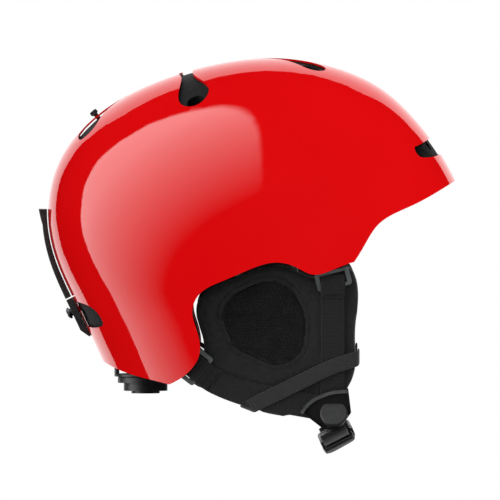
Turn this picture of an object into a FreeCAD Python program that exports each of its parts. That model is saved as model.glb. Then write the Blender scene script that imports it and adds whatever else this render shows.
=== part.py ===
import FreeCAD, Part
import Sketcher
import math
import os

# Ski helmet, in millimetres.  +X points to the brim, +Y to the wearer's left, +Z up.
# The origin is the middle of the head cavity, level with the ear openings.
# A thin polycarbonate shell is moulded onto a foam liner; straps, ear pads, the size
# adjuster, the vent shutter and the goggle clip are separate pieces fixed to them.

os.makedirs("parts", exist_ok=True)
doc = FreeCAD.newDocument("ski_helmet")
Vector = FreeCAD.Vector
Rotation = FreeCAD.Rotation
Placement = FreeCAD.Placement

# ---------------------------------------------------------------- driving dimensions
SIZES = {
    "shell_length": 288.0,        # outside, brim tip to back of the head
    "crown_height": 170.4,        # top of the crown above the origin
    "half_width": 112.0,          # widest point of one side
    "hoop_power": 2.3,            # 2 is an ellipse, more is squarer shoulders
    "shell_wall": 1.3,
    "bond_gap": 0.15,             # adhesive line between shell and liner
    "liner_depth": 33.0,          # foam front, top and back, from the outer surface
    "liner_side_depth": 26.0,     # the same at the ears
    "rim_setback": 1.0,           # liner edge above the shell edge
    "recess_depth": 2.2,          # vent floors below the outer surface
    "comfort_thickness": 7.0,
    "comfort_gap": 0.4,
    "shutter_thickness": 1.6,
    "shutter_width": 32.0,
    "shutter_length": 34.0,
    "shutter_gap": 0.5,
    "rail_thickness": 2.0,
    "stem_radius": 1.6,
    "knob_length": 5.5,
    "knob_width": 9.0,
    "knob_height": 3.2,
    "knob_hover": 1.6,
    "clip_width": 22.0,
    "clip_thickness": 4.0,
    "clip_head_extra": 1.6,
    "clip_gap": 0.9,              # the arm stands this far off the shell at rest
    "clip_seat": 0.3,             # the foot, over the shell's paint
    "rivet_head_radius": 4.1,
    "rivet_head_height": 2.5,
    "rivet_neck_radius": 2.8,
    "rivet_neck_height": 1.2,
    "rivet_shank_radius": 2.0,
    "rivet_gap": 0.05,
    "pad_thickness": 15.0,
    "pad_face": 98.0,             # outer face of the ear pad from the centre plane
    "pad_tilt": 7.5,              # ear pads lean in towards the jaw, degrees
    "mesh_thickness": 1.6,
    "mesh_gap": 0.3,
    "mesh_inset": 0.8,
    "stud_radius": 2.6,
    "stud_length": 16.0,
    "stud_gap": 0.15,
    "strap_width": 17.2,
    "strap_thickness": 1.5,
    "layer_gap": 0.35,
    "elastic_width": 10.4,
    "elastic_thickness": 1.1,
    "anchor_wire": 3.0,
    "divider_thickness": 5.2,
    "divider_rim": 2.8,
    "cap_radius": 9.7,
    "cap_thickness": 2.6,
    "chin_width": 19.0,
    "chin_thickness": 2.0,
    "chin_slope": 27.0,           # the chin strap's width rises forwards, degrees
    "chin_drop": 13.0,
    "sleeve_wall": 3.4,
    "sleeve_half_length": 30.0,
    "buckle_width": 25.0,
    "buckle_height": 8.4,
    "buckle_wall": 1.7,
    "buckle_gap": 0.25,
    "socket_length": 32.0,
    "tongue_length": 26.0,
    "gear_module": 1.0,
    "pinion_teeth": 10.0,
    "inner_rack_teeth": 144.0,    # teeth of a full circle of the inner rack's arc
    "gear_addendum": 0.8,
    "gear_dedendum": 1.1,
    "gear_backlash": 0.3,
    "pressure_angle": 25.0,
    "rack_height": 4.2,
    "rack_backing": 2.0,
    "arm_height": 11.0,
    "arm_gap": 0.35,
    "dial_travel": 138.0,         # degrees from loose to tight
    "housing_radius": 22.0,
    "plate_thickness": 1.8,
    "housing_top": -45.2,
    "dial_flange_radius": 19.6,
    "dial_flange_height": 4.0,
    "dial_grip_radius": 15.4,
    "dial_grip_height": 5.6,
    "dial_cap_radius": 10.0,
    "dial_cap_height": 1.8,
    "dial_shaft_radius": 2.2,
    "dial_gap": 0.06,
    "keeper_length": 5.2,
    "keeper_wall": 1.4,
    "keeper_room": 0.3,           # round the chin strap, each way
}
sheet = doc.addObject("Spreadsheet::Sheet", "sizes")
for row, (alias, value) in enumerate(SIZES.items(), start=1):
    sheet.set("A%d" % row, alias)
    sheet.set("B%d" % row, str(value))
    sheet.setAlias("B%d" % row, alias)
doc.recompute()


def size(alias):
    """A driving dimension, read back from the sheet."""
    return float(getattr(sheet, alias))


# The outline points below were drawn for a helmet of this size, and follow the real one.
DRAWN_LENGTH = 288.0
DRAWN_HEIGHT = 170.4
DRAWN_HALF_WIDTH = 112.0
along = size("shell_length") / DRAWN_LENGTH
up = size("crown_height") / DRAWN_HEIGHT
across = size("half_width") / DRAWN_HALF_WIDTH


def spot(x, z):
    """A place on the side view of the helmet, carried along when the helmet grows."""
    return x * along, z * up


# ---------------------------------------------------------------- helpers
def spline(points, closed=False):
    curve = Part.BSplineCurve()
    curve.interpolate(Points=points, PeriodicFlag=closed)
    return curve


def side_points(points, y=0.0):
    """Side-view points as vectors on the plane at y."""
    result = []
    for x, z in points:
        sx, sz = spot(x, z)
        result.append(Vector(sx, y, sz))
    return result


def moved_out(points, distance):
    """An open outline moved sideways, to its left as it is walked."""
    result = []
    last = len(points) - 1
    for i, point in enumerate(points):
        run = points[min(i + 1, last)] - points[max(i - 1, 0)]
        run.normalize()
        result.append(point + Vector(-run.z, 0, run.x) * distance)
    return result


def prism(edges, direction):
    wire = Part.Wire(Part.__sortEdges__(edges))
    return Part.Face(wire).extrude(direction)


def polygon(points):
    return [Part.makeLine(a, b) for a, b in zip(points, points[1:] + points[:1])]


def side_prism(points, y_from, y_to, smooth=True):
    """A closed side-view outline extruded from y_from to y_to."""
    base = side_points(points, y_from)
    edges = [spline(base, closed=True).toShape()] if smooth else polygon(base)
    return prism(edges, Vector(0, y_to - y_from, 0))


def plan_prism(points, z_from, z_to):
    """A smooth closed plan-view outline, given for y >= 0 and mirrored, extruded up."""
    half = [Vector(x * along, y * across, z_from) for x, y in points]
    mirrored = [Vector(p.x, -p.y, p.z) for p in reversed(half) if abs(p.y) > 0.01]
    return prism([spline(half + mirrored, closed=True).toShape()], Vector(0, 0, z_to - z_from))


def plan_tear(points, side, z_from, z_to):
    """A plan-view outline on one side, smooth but for its tip at the first point, extruded up."""
    base = [Vector(x * along, side * y * across, z_from) for x, y in points]
    return prism([spline(base + base[:1]).toShape()], Vector(0, 0, z_to - z_from))


sub_parts = []


def feature(label, shape, placement=None):
    """A sub-part whose shape is worked out here from the sheet's sizes."""
    piece = doc.addObject("Part::Feature", label)
    piece.Label = label
    piece.Shape = shape
    if placement is not None:
        piece.Placement = placement * shape.Placement
    sub_parts.append(piece)
    return piece


def bound(kind, name, placement, **formulas):
    """A Part primitive whose sizes are tied to the sheet's cells."""
    piece = doc.addObject(kind, name)
    for size_name, formula in formulas.items():
        piece.setExpression(size_name, formula)
    piece.Placement = placement
    return piece


def made_of(kind, label, **links):
    """A sub-part that joins or cuts other objects of the document."""
    piece = doc.addObject(kind, label)
    piece.Label = label
    for link, target in links.items():
        setattr(piece, link, target)
    sub_parts.append(piece)
    return piece


def facing_along(direction):
    """Turns +Z to a direction."""
    return Rotation(Vector(0, 0, 1), direction)


def fused(shapes):
    result = shapes[0]
    for other in shapes[1:]:
        result = result.fuse(other)
    return result.removeSplitter()


# ---------------------------------------------------------------- dome surfaces
# Centre line of the shell, from under the brim over the crown to the nape.  The first
# and last points lie below the rim and are cut away.
CENTRE_LINE = [
    (156.0, 36.0), (150.8, 60.0), (142.2, 82.4), (130.6, 103.6), (113.3, 126.7), (90.8, 147.8),
    (56.0, 164.0), (12.0, 170.4), (-50.0, 160.5), (-106.3, 133.8), (-134.5, 104.2),
    (-145.7, 66.0), (-139.8, 28.2), (-126.2, -2.3), (-107.7, -42.2), (-80.5, -98.5)]
centre_curve = spline(side_points(CENTRE_LINE))
ROWS = 41
HOOPS = 25
POLE = 84.0                       # a hoop ends this far round, inside the ear opening


def on_centre_line(share, inset):
    """Point on the centre line, moved inwards by inset, and the inward direction."""
    first = centre_curve.FirstParameter
    last = centre_curve.LastParameter
    t = first + (last - first) * share
    point = centre_curve.value(t)
    tangent = centre_curve.tangent(t)[0]
    inward = Vector(tangent.z, 0, -tangent.x)
    if inward.dot(point) > 0:
        inward = inward * -1
    return point + inward * inset, inward


def share_at(height, rear):
    """Where the centre line crosses a height, on its front or rear half."""
    low, high = (0.5, 1.0) if rear else (0.0, 0.5)
    for _ in range(40):
        middle = (low + high) / 2
        above = on_centre_line(middle, 0)[0].z > height
        if above == rear:
            low = middle
        else:
            high = middle
    return (low + high) / 2


def dome_face(inset, side_inset):
    """Hoops from ear to ear along the centre line, as one smooth face.

    The inset is taken towards the origin, so that inner faces stay as smooth as the shell.
    """
    power = size("hoop_power")
    half_width = size("half_width") - side_inset
    grid = []
    for i in range(ROWS):
        crest = on_centre_line(i / (ROWS - 1), 0)[0]
        crest = crest * (1 - inset / crest.Length)
        row = []
        for j in range(HOOPS):
            turn = math.radians(-POLE + 2 * POLE * j / (HOOPS - 1))
            c = math.cos(turn)
            s = math.sin(turn)
            swell = (abs(c) ** power + abs(s) ** power) ** (-1 / power)
            row.append(Vector(crest.x * c * swell, half_width * s * swell, crest.z * c * swell))
        grid.append(row)
    surface = Part.BSplineSurface()
    surface.interpolate(grid)
    return surface.toShape()


def dome_layer(outer, outer_side, inner, inner_side):
    """The solid between two dome faces."""
    top = dome_face(outer, outer_side)
    bottom = dome_face(inner, inner_side)
    faces = [top, bottom]
    for edge in top.Edges:
        middle = edge.valueAt((edge.FirstParameter + edge.LastParameter) / 2)

        def distance(other):
            return (other.valueAt((other.FirstParameter + other.LastParameter) / 2) - middle).Length

        faces.append(Part.makeRuledSurface(edge, min(bottom.Edges, key=distance)))
    shell = Part.Shell(faces)
    shell.sewShape()
    solid = Part.Solid(shell)
    if solid.Volume < 0:
        solid.reverse()
    return solid


# ---------------------------------------------------------------- rim and ear openings
FAR = 400.0
REAR_EDGE = [(-125.0, -35.5), (-107.7, -42.2), (-93.0, -48.6), (-76.0, -53.2), (-60.0, -57.0)]
EAR_EDGE = [(-60.0, -57.0), (-51.0, -52.0), (-38.8, -36.0), (-40.2, -20.0), (-43.6, -5.0),
            (-39.0, 6.0), (-23.4, 15.2), (-3.7, 23.6), (14.0, 28.4), (28.0, 25.4), (40.0, 20.0),
            (54.0, 23.2), (69.0, 28.6)]
BROW_EDGE = [(69.0, 28.6), (76.4, 40.5), (85.6, 54.3), (109.3, 67.4), (142.2, 85.2), (175.0, 103.0)]


def rim_cutter(setback):
    """Everything below the rim line, raised by setback."""
    edges = []
    chains = [moved_out(side_points(chain, -FAR), setback)
              for chain in (REAR_EDGE, EAR_EDGE, BROW_EDGE)]
    for before, after in zip(chains, chains[1:]):
        meeting = (before[-1] + after[0]) * 0.5
        before[-1] = meeting
        after[0] = meeting
    for chain in chains:
        edges.append(spline(chain).toShape())
    start = chains[0][0]
    end = chains[-1][-1]
    low = Vector(0, 0, -FAR)
    corners = [start, start + low, end + low, end]
    edges += [Part.makeLine(a, b) for a, b in zip(corners, corners[1:])]
    return prism(edges, Vector(0, 2 * FAR, 0))


# ---------------------------------------------------------------- vents
SKY = 220.0
CROWN_SLOT = [(-52.3, 0.0), (-51.6, 30.0), (-53.5, 51.0), (-52.0, 62.0), (-45.0, 66.5),
              (-36.5, 65.0), (-32.2, 57.5), (-35.0, 48.0), (-42.0, 34.0), (-42.6, 0.0)]
# one tear of each pair, for y > 0: they leave a narrow spine along the crest
FRONT_TEAR = [(-5.0, 3.0), (10.0, 10.0), (22.0, 19.5), (32.0, 30.5), (40.5, 35.8), (47.0, 33.5),
              (49.6, 26.5), (46.0, 17.5), (34.0, 10.0), (14.0, 5.0)]
REAR_TEAR = [(-87.0, 5.0), (-98.5, 13.0), (-108.0, 26.0), (-115.0, 36.5), (-120.5, 35.5),
             (-123.8, 27.5), (-123.0, 17.0), (-114.0, 9.5), (-100.0, 6.0)]
STEM_SLOT = [(-115.5, 0.0), (-114.2, 2.3), (-93.8, 2.3), (-92.5, 0.0)]
BROW_SLOT = [(112.4, 108.6), (118.0, 111.2), (133.0, 115.2), (136.0, 109.6), (118.6, 100.8),
             (114.0, 102.6)]
NAPE_VENT = [(-133.0, -1.6), (-113.0, -5.2), (-108.0, -11.0), (-106.6, -16.5), (-109.5, -18.0),
             (-127.0, -11.6)]
NAPE_SPINE = 6.0                  # half the red spine between the two nape vents
NAPE_REACH = 60.0
BROW_REACH = 80.0


def vent_cutters():
    """The openings as they show on the shell."""
    floor = 60.0 * up
    return [
        plan_prism(CROWN_SLOT, floor, SKY),
        plan_tear(FRONT_TEAR, 1, floor, SKY),
        plan_tear(FRONT_TEAR, -1, floor, SKY),
        plan_tear(REAR_TEAR, 1, floor, SKY),
        plan_tear(REAR_TEAR, -1, floor, SKY),
        side_prism(BROW_SLOT, -BROW_REACH, BROW_REACH),
        side_prism(NAPE_VENT, NAPE_SPINE, NAPE_REACH),
        side_prism(NAPE_VENT, -NAPE_REACH, -NAPE_SPINE)]


def duct(start, end, radius):
    """A straight round air duct through the liner between two (x, y, z) places."""
    a = Vector(start[0] * along, start[1] * across, start[2] * up)
    b = Vector(end[0] * along, end[1] * across, end[2] * up)
    return Part.makeCylinder(radius, (b - a).Length, a, b - a)


def ducts():
    """Air paths from the vents into the head cavity."""
    result = [duct((-119, 0, 150), (-60, 0, 60), 6.0)]
    for side in (-1, 1):
        result.append(duct((40, side * 25, 190), (34, side * 25, 80), 6.5))
        result.append(duct((-43, side * 70, 160), (-36, side * 40, 90), 6.5))
        result.append(duct((140, side * 26, 117), (60, side * 20, 82), 3.6))
        result.append(duct((-135, side * 24, -12), (-50, side * 12, 2), 4.2))
    return result


# ---------------------------------------------------------------- vent shutter
# The shutter slides on an arc about this axis, which follows the back of the crown.
SHUTTER_CENTRE = (-24.0, 28.0)
SHUTTER_RADIUS = 133.5            # outer surface of the shell from that axis, as drawn
SHUTTER_FACING = 133.0            # degrees from +X up to the middle of the closed shutter
KNOB_FACING = 130.7
SHUTTER_TRAVEL = 8.0              # degrees forwards to fully open
CHANNEL_ENDS = 1.2                # degrees of room at each end of the channel
shutter_x, shutter_z = spot(*SHUTTER_CENTRE)
shutter_axis = Vector(shutter_x, 0, shutter_z)


def shutter_sweep():
    """Angle that the shutter covers about its axis."""
    return math.degrees(size("shutter_length") / SHUTTER_RADIUS)


def crest_radius():
    """Least distance from the shutter's axis to the centre line over the shutter."""
    nearest = FAR
    reach = shutter_sweep() / 2 + SHUTTER_TRAVEL
    for i in range(ROWS * 8):
        point = on_centre_line(i / (ROWS * 8 - 1), 0)[0] - shutter_axis
        facing = math.degrees(math.atan2(point.z, point.x))
        if abs(facing - SHUTTER_FACING) < reach:
            nearest = min(nearest, point.Length)
    return nearest


def arc_block(radius_low, radius_high, angle, width, facing):
    """Part of a ring about the shutter's axis, its middle at an angle from +X."""
    ring = Part.makeCylinder(radius_high, width, Vector(0, 0, -width / 2), Vector(0, 0, 1), angle)
    ring = ring.cut(Part.makeCylinder(radius_low, width * 2, Vector(0, 0, -width)))
    ring.rotate(Vector(0, 0, 0), Vector(0, 0, 1), facing - angle / 2)
    ring.rotate(Vector(0, 0, 0), Vector(1, 0, 0), 90)
    ring.translate(shutter_axis)
    return ring


under_shell = crest_radius() - size("shell_wall") - size("bond_gap")
# the dome falls away beside the centre line, so the shutter lies that much deeper
side_fall = crest_radius() - math.sqrt(crest_radius() ** 2 - (size("shutter_width") / 2) ** 2)
shutter_top = under_shell - size("shutter_gap") - side_fall - 0.6
shutter_bottom = shutter_top - size("shutter_thickness")
rail_top = shutter_bottom - size("shutter_gap")
rail_bottom = rail_top - size("rail_thickness")


def shutter_channel():
    width = size("shutter_width") + 3.0
    return arc_block(rail_bottom - size("comfort_gap"), under_shell + 5.0, channel_sweep(), width,
                     SHUTTER_FACING - SHUTTER_TRAVEL / 2)


def channel_sweep():
    return shutter_sweep() + SHUTTER_TRAVEL + 2 * CHANNEL_ENDS


def on_shutter_arc(radius, facing):
    angle = math.radians(facing)
    return shutter_axis + Vector(math.cos(angle), 0, math.sin(angle)) * radius


# ---------------------------------------------------------------- size adjuster geometry
module = size("gear_module")
pinion_pitch = module * size("pinion_teeth") / 2
inner_pitch = module * size("inner_rack_teeth") / 2
dial_radius = inner_pitch + pinion_pitch          # head axis to the dial's shaft
outer_pitch = dial_radius + pinion_pitch
dial_place = Vector(-dial_radius, 0, 0)
plate = size("plate_thickness")
top_plate_low = size("housing_top") - plate
rack_top = top_plate_low - size("arm_gap")
rack_low = rack_top - size("rack_height")
cover_high = rack_low - size("arm_gap")
cover_low = cover_high - plate
travel_inner = size("dial_travel") * size("pinion_teeth") / size("inner_rack_teeth")
travel_outer = size("dial_travel") * pinion_pitch / outer_pitch


def nape_relief():
    """Foam cleared for the size adjuster, under the back edge of the liner."""
    radius = outer_pitch + size("rack_backing") + size("gear_addendum") + 3.0
    low = -2 * FAR
    top = size("housing_top") + 1.0
    ring = Part.makeCylinder(radius, top - low, Vector(0, 0, low))
    bowl = Part.makeCylinder(size("housing_radius") + 1.5, top - low, dial_place + Vector(0, 0, low))
    return [ring, bowl]


# ---------------------------------------------------------------- side assembly frame
# Ear pads, straps and anchors are drawn flat, with y counted outwards from the pad's
# outer face, and then leaned in towards the jaw about the top edge of the ear opening.
LEAN_HEIGHT = 25.0
SIDES = (("right", -1), ("left", 1))


def lean(side):
    pivot = Vector(0, side * size("pad_face") * across, LEAN_HEIGHT * up)
    turn = Rotation(Vector(1, 0, 0), -side * size("pad_tilt"))
    return Placement(pivot, turn) * Placement(Vector(0, 0, -LEAN_HEIGHT * up), Rotation())


def layer(points, side, low, high, smooth=True):
    """A flat outline between two distances outwards from the pad's face."""
    return side_prism(points, side * low, side * high, smooth)


webbing_low = size("layer_gap")
webbing_high = webbing_low + size("strap_thickness")
elastic_low = webbing_high + size("layer_gap")
EAR_PAD = [(-46.8, -53.4), (-37.6, -37.5), (-38.8, -21.5), (-42.2, -5.6), (-37.8, 5.2),
           (-22.6, 13.8), (-3.4, 22.2), (14.0, 26.8), (28.0, 23.6), (40.6, 18.4), (54.0, 21.4),
           (66.6, 25.6), (71.2, 19.0), (71.6, -20.0), (71.0, -46.0), (64.0, -63.0), (42.0, -76.4),
           (17.6, -81.7), (-4.9, -75.3), (-27.5, -65.2), (-43.5, -59.6)]
MESH_OVAL = [(-21.8, -11.0), (-17.6, 0.8), (-5.5, 8.8), (11.0, 13.8), (25.0, 6.8), (32.4, -8.0),
             (33.0, -23.0), (28.6, -36.0), (15.0, -42.6), (1.0, -37.6), (-16.2, -27.6)]
STUD_SPOTS = ((-12.0, 19.5), (27.0, 23.0))
FRONT_ANCHOR = (54.4, 17.2)
FRONT_ANCHOR_TURN = -14.0
REAR_ANCHOR = (-41.2, -44.8)
REAR_ANCHOR_TURN = -52.0


def shrunk(points, distance):
    """An outline drawn in towards its middle."""
    cx = sum(p[0] for p in points) / len(points)
    cz = sum(p[1] for p in points) / len(points)
    result = []
    for x, z in points:
        reach = math.hypot(x - cx, z - cz)
        keep = (reach - distance) / reach
        result.append((cx + (x - cx) * keep, cz + (z - cz) * keep))
    return result


def stud_place(side, x, z, extra=0.0):
    """Lower end of a push-in stud that holds the ear pad, half in it and half in the liner."""
    sx, sz = spot(x, z)
    return Vector(sx, -side * size("pad_thickness") / 2, sz - size("stud_length") / 2 - extra)


def stud_hole(side, x, z):
    """The room that a stud takes in the pad and in the liner."""
    extra = size("stud_gap")
    return Part.makeCylinder(size("stud_radius") + extra, size("stud_length") + 2 * extra,
                             stud_place(side, x, z, extra), Vector(0, 0, 1))


def side_pockets():
    """Foam cleared in both sides of the liner for the anchors and the pads' studs."""
    result = []
    for _, side in SIDES:
        room = [stud_hole(side, x, z) for x, z in STUD_SPOTS]
        for middle, turn in ((FRONT_ANCHOR, FRONT_ANCHOR_TURN), (REAR_ANCHOR, REAR_ANCHOR_TURN)):
            x, z = spot(*middle)
            width = size("strap_width") + 1.2 + 2 * size("anchor_wire") + 3.0
            pocket = Part.makeBox(width, 8.0, 22.0, Vector(-width / 2, -4.0, -12.0))
            pocket.rotate(Vector(0, 0, 0), Vector(0, 1, 0), turn)
            pocket.translate(Vector(x, side * (elastic_low + 0.4), z))
            room.append(pocket)
        for shape in room:
            shape.Placement = lean(side) * shape.Placement
            result.append(shape)
    return result


# ---------------------------------------------------------------- shell and liner
wall = size("shell_wall")
bond = wall + size("bond_gap")
cutters = vent_cutters()
stem_slot = plan_prism(STEM_SLOT, 60.0 * up, SKY)
shell_shape = dome_layer(0, 0, wall, wall).cut([rim_cutter(0), stem_slot] + cutters)

rivet_share = share_at(-6.3 * up, rear=True)
rivet_point, rivet_inward = on_centre_line(rivet_share, 0)
rivet_bore = Part.makeCylinder(size("rivet_shank_radius") + size("rivet_gap"), 40.0,
                               rivet_point - rivet_inward * 20.0, rivet_inward)
shell_shape = shell_shape.cut(rivet_bore)

liner_shape = dome_layer(bond, bond, size("liner_depth"), size("liner_side_depth"))
recess = dome_layer(-1.0, -1.0, size("recess_depth"), size("recess_depth"))
recesses = [recess.common(cutter) for cutter in cutters]
liner_shape = liner_shape.cut([rim_cutter(size("rim_setback"))] + recesses)
liner_shape = liner_shape.cut(ducts() + [shutter_channel(), rivet_bore] + nape_relief())
liner_shape = liner_shape.cut(side_pockets())


# ---------------------------------------------------------------- straps and buckle layout
RELEASE_TRAVEL = 18.0             # the buckle's tongue clears the socket after this
CAP_TIP = 36.0                    # the divider's cap faces downwards, degrees
DISC_SPOT = (54.9, -79.5)         # middle of the divider's round cap
FAN_ARC = [(32.0, -76.0), (44.6, -64.6), (65.0, -60.4)]
FAN_FOOT = [(67.0, -77.0), (58.4, -90.0), (47.6, -88.4)]
FRONT_STRAP = ((54.3, 21.0), (54.3, -66.0))
REAR_STRAP = [(-45.5, -41.5), (-37.0, -49.0), (-27.0, -56.0), (-8.0, -63.6), (14.0, -68.4), (36.0, -72.4),
              (43.4, -73.8)]
ELASTIC = ((3.0, -69.0), (68.4, -39.4))
CHIN_FORWARD = 59.0               # the chin strap's middle, forward of the origin


def band(points, width, side, low, high):
    """A flat ribbon of a width that follows a side-view curve."""
    centre = side_points(points)
    upper = moved_out(centre, width / 2)
    lower = moved_out(centre, -width / 2)
    edges = [spline(upper).toShape(), spline(lower).toShape(),
             Part.makeLine(upper[0], lower[0]), Part.makeLine(upper[-1], lower[-1])]
    ribbon = prism(edges, Vector(0, side * (high - low), 0))
    ribbon.translate(Vector(0, side * low, 0))
    return ribbon


def bar(label, start, end, width, thickness, low, side):
    """A straight strap as a box, its width and thickness bound to the sheet."""
    sx, sz = spot(*start)
    ex, ez = spot(*end)
    length = math.hypot(ex - sx, ez - sz)
    turn = Rotation(Vector(0, 1, 0), -math.degrees(math.atan2(ez - sz, ex - sx)))
    y = low if side > 0 else -low - size(thickness)
    corner = Vector(sx, y, sz) - turn.multVec(Vector(0, 0, size(width) / 2))
    box = bound("Part::Box", label, lean(side) * Placement(corner, turn),
                Height="sizes." + width, Width="sizes." + thickness)
    box.Label = label
    box.Length = length
    sub_parts.append(box)
    return box


CHIN_HANG = 8.0                   # the chin strap leaves the divider this far under its cap
chin_foot = lean(1).multVec(side_points([(DISC_SPOT[0], DISC_SPOT[1] - CHIN_HANG)])[0])
chin_y = chin_foot.y
chin_z = chin_foot.z
chin_low = chin_z - size("chin_drop")
BUCKLE_TO_HANG = 5.5              # straight webbing between the buckle and the upward bend
socket_inner = chin_y * 0.9 - BUCKLE_TO_HANG - size("socket_length")      # the buckle's mouth
chin_turn = Rotation(Vector(0, 1, 0), -size("chin_slope"))
CHIN_SHOULDER = 0.86                              # where the strap levels out


def chin_ribbon(points, thickness, width):
    """A ribbon across the chin: its middle line in y and z, its width along the slope."""
    line = [Vector(0, y, z) for y, z in points]
    edges = []
    upper = [p + n * (thickness / 2) for p, n in zip(line, chin_normals(line))]
    lower = [p - n * (thickness / 2) for p, n in zip(line, chin_normals(line))]
    if len(line) > 2:
        edges += [spline(upper).toShape(), spline(lower).toShape()]
    else:
        edges += [Part.makeLine(*upper), Part.makeLine(*lower)]
    edges += [Part.makeLine(upper[0], lower[0]), Part.makeLine(upper[-1], lower[-1])]
    ribbon = prism(edges, Vector(width, 0, 0))
    ribbon.translate(Vector(-width / 2, 0, 0))
    return ribbon


def chin_normals(line):
    normals = []
    last = len(line) - 1
    for i in range(len(line)):
        run = line[min(i + 1, last)] - line[max(i - 1, 0)]
        run.normalize()
        normals.append(Vector(0, -run.z, run.y))
    return normals


def chin_frame():
    """Leans the chin strap's width up towards the front."""
    centre = Vector(CHIN_FORWARD * along, 0, chin_low)
    return Placement(centre, chin_turn)


def sag(y):
    """Height of the level stretch above its lowest point, in the chin frame."""
    share = y / (chin_y * CHIN_SHOULDER)
    return (chin_z - chin_low) * 0.42 * share * share


def buckle_line():
    """Straight line of the buckle: mouth and heading in the (y, z) plane."""
    y0 = socket_inner
    y1 = socket_inner + size("socket_length")
    slope = (sag(y1) - sag(y0)) / (y1 - y0)
    return y0, sag(y0), math.degrees(math.atan(slope))


buckle_y, buckle_z, buckle_rise = buckle_line()


def in_buckle(shape):
    """Move a piece drawn along +Y from the buckle's mouth into place."""
    shape.rotate(Vector(0, 0, 0), Vector(1, 0, 0), buckle_rise)
    shape.translate(Vector(0, buckle_y, buckle_z))
    return shape


def block(x, y_from, y_to, z):
    """A box centred on x and z, x by z, from y_from to y_to."""
    return Part.makeBox(x, y_to - y_from, z, Vector(-x / 2, y_from, -z / 2))


def rounded(shape, radius, direction=Vector(0, 0, 1)):
    """Round the edges that run along a direction."""
    edges = []
    for edge in shape.Edges:
        run = edge.Vertexes[-1].Point - edge.Vertexes[0].Point
        if run.Length > 0 and run.cross(direction).Length < 1e-6 * run.Length:
            edges.append(edge)
    return shape.makeFillet(radius, edges)


# ---------------------------------------------------------------- gears
def tooth_sides(teeth, radius_list):
    """Half the angle of an involute tooth at each radius."""
    pressure = math.radians(size("pressure_angle"))
    pitch = module * teeth / 2
    base = pitch * math.cos(pressure)
    at_pitch = math.pi / (2 * teeth) - size("gear_backlash") / (2 * pitch) / 2
    involute = math.tan(pressure) - pressure
    halves = []
    for radius in radius_list:
        local = math.acos(min(1.0, base / max(radius, base)))
        halves.append(at_pitch + involute - (math.tan(local) - local))
    return halves


def spread(low, high, count):
    return [low + (high - low) * i / (count - 1) for i in range(count)]


def pinion_face(facing):
    """Outline of the whole pinion, one tooth centred on the angle given."""
    teeth = int(size("pinion_teeth"))
    radii = spread(pinion_pitch - size("gear_dedendum"), pinion_pitch + size("gear_addendum"), 7)
    halves = tooth_sides(teeth, radii)
    points = []
    for i in range(teeth):
        middle = facing + 2 * math.pi * i / teeth
        flank = list(zip(radii, halves))
        for radius, half in flank:
            points.append(polar(radius, middle - half))
        for radius, half in reversed(flank):
            points.append(polar(radius, middle + half))
    return Part.Face(Part.Wire(polygon(points)))


def polar(radius, angle):
    return Vector(radius * math.cos(angle), radius * math.sin(angle), 0)


RACK_STEPS = 14                   # straight steps along the back of a rack


def rack_face(internal, pitch_angles, backing_angles):
    """An arc rack about the head axis with a tooth at each of the pitch angles."""
    addendum = size("gear_addendum")
    dedendum = size("gear_dedendum")
    backing = size("rack_backing")
    pitch = outer_pitch if internal else inner_pitch
    teeth = 2 * pitch / module
    outwards = -1 if internal else 1
    root = pitch - outwards * dedendum
    radii = spread(root, pitch + outwards * addendum, 5)
    if internal:
        gaps = tooth_sides(teeth, [2 * pitch - r for r in radii])
    else:
        gaps = tooth_sides(teeth, radii)
    low, high = backing_angles
    points = [polar(root - outwards * backing, a) for a in spread(high, low, RACK_STEPS)]
    points.append(polar(root, low))
    for middle in pitch_angles:
        flank = list(zip(radii, gaps))
        for radius, half in flank:
            points.append(polar(radius, middle - half))
        for radius, half in reversed(flank):
            points.append(polar(radius, middle + half))
    points.append(polar(root, high))
    return Part.Face(Part.Wire(polygon(points)))


# ---------------------------------------------------------------- pieces of the dome
def make_dome_pieces():
    feature("shell", shell_shape)
    feature("eps_liner", liner_shape)
    low = size("comfort_gap")
    inner = size("liner_depth")
    inner_side = size("liner_side_depth")
    thick = size("comfort_thickness")
    lining = dome_layer(inner + low, inner_side + low, inner + low + thick, inner_side + low + thick)
    brow = Part.makeBox(120.0 * along, 112.0 * across, 27.0 * up,
                        Vector(52.0 * along, -56.0 * across, 74.0 * up))
    feature("brow_pad", lining.common(brow).cut(ducts()))
    bar_length = Part.makeBox(96.0 * along, 26.0, 90.0 * up, Vector(-52.0 * along, -13.0, 105.0 * up))
    bar_across = Part.makeBox(26.0, 110.0 * across, 90.0 * up,
                              Vector(-18.0 * along, -55.0 * across, 105.0 * up))
    feature("crown_pad", lining.common(bar_length.fuse(bar_across)))
    nape = Part.makeBox(60.0 * along, 76.0 * across, 62.0 * up,
                        Vector(-125.0 * along, -38.0 * across, 2.0 * up))
    feature("nape_pad", lining.common(nape).cut(ducts()))
    for name, side in SIDES:
        corner = Vector(-42.0 * along, side * 88.0 * across - 34.0, 46.0 * up)
        temple = Part.makeBox(74.0 * along, 68.0, 34.0 * up, corner)
        feature("temple_pad_" + name, lining.common(temple).cut(ducts()))


# ---------------------------------------------------------------- vent shutter, knob, rail
RAIL_SHORT = 0.6                  # the rail ends before its channel does, degrees
RAIL_END = 2.2                    # its closed ends, degrees
POST_SWEEP = 0.6                  # the posts that carry the guide walls, degrees
GUIDE_GAP = 0.2
GUIDE_WALL = 1.0
STEM_ROOM = 0.8                   # from the stem to each guide wall


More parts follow.
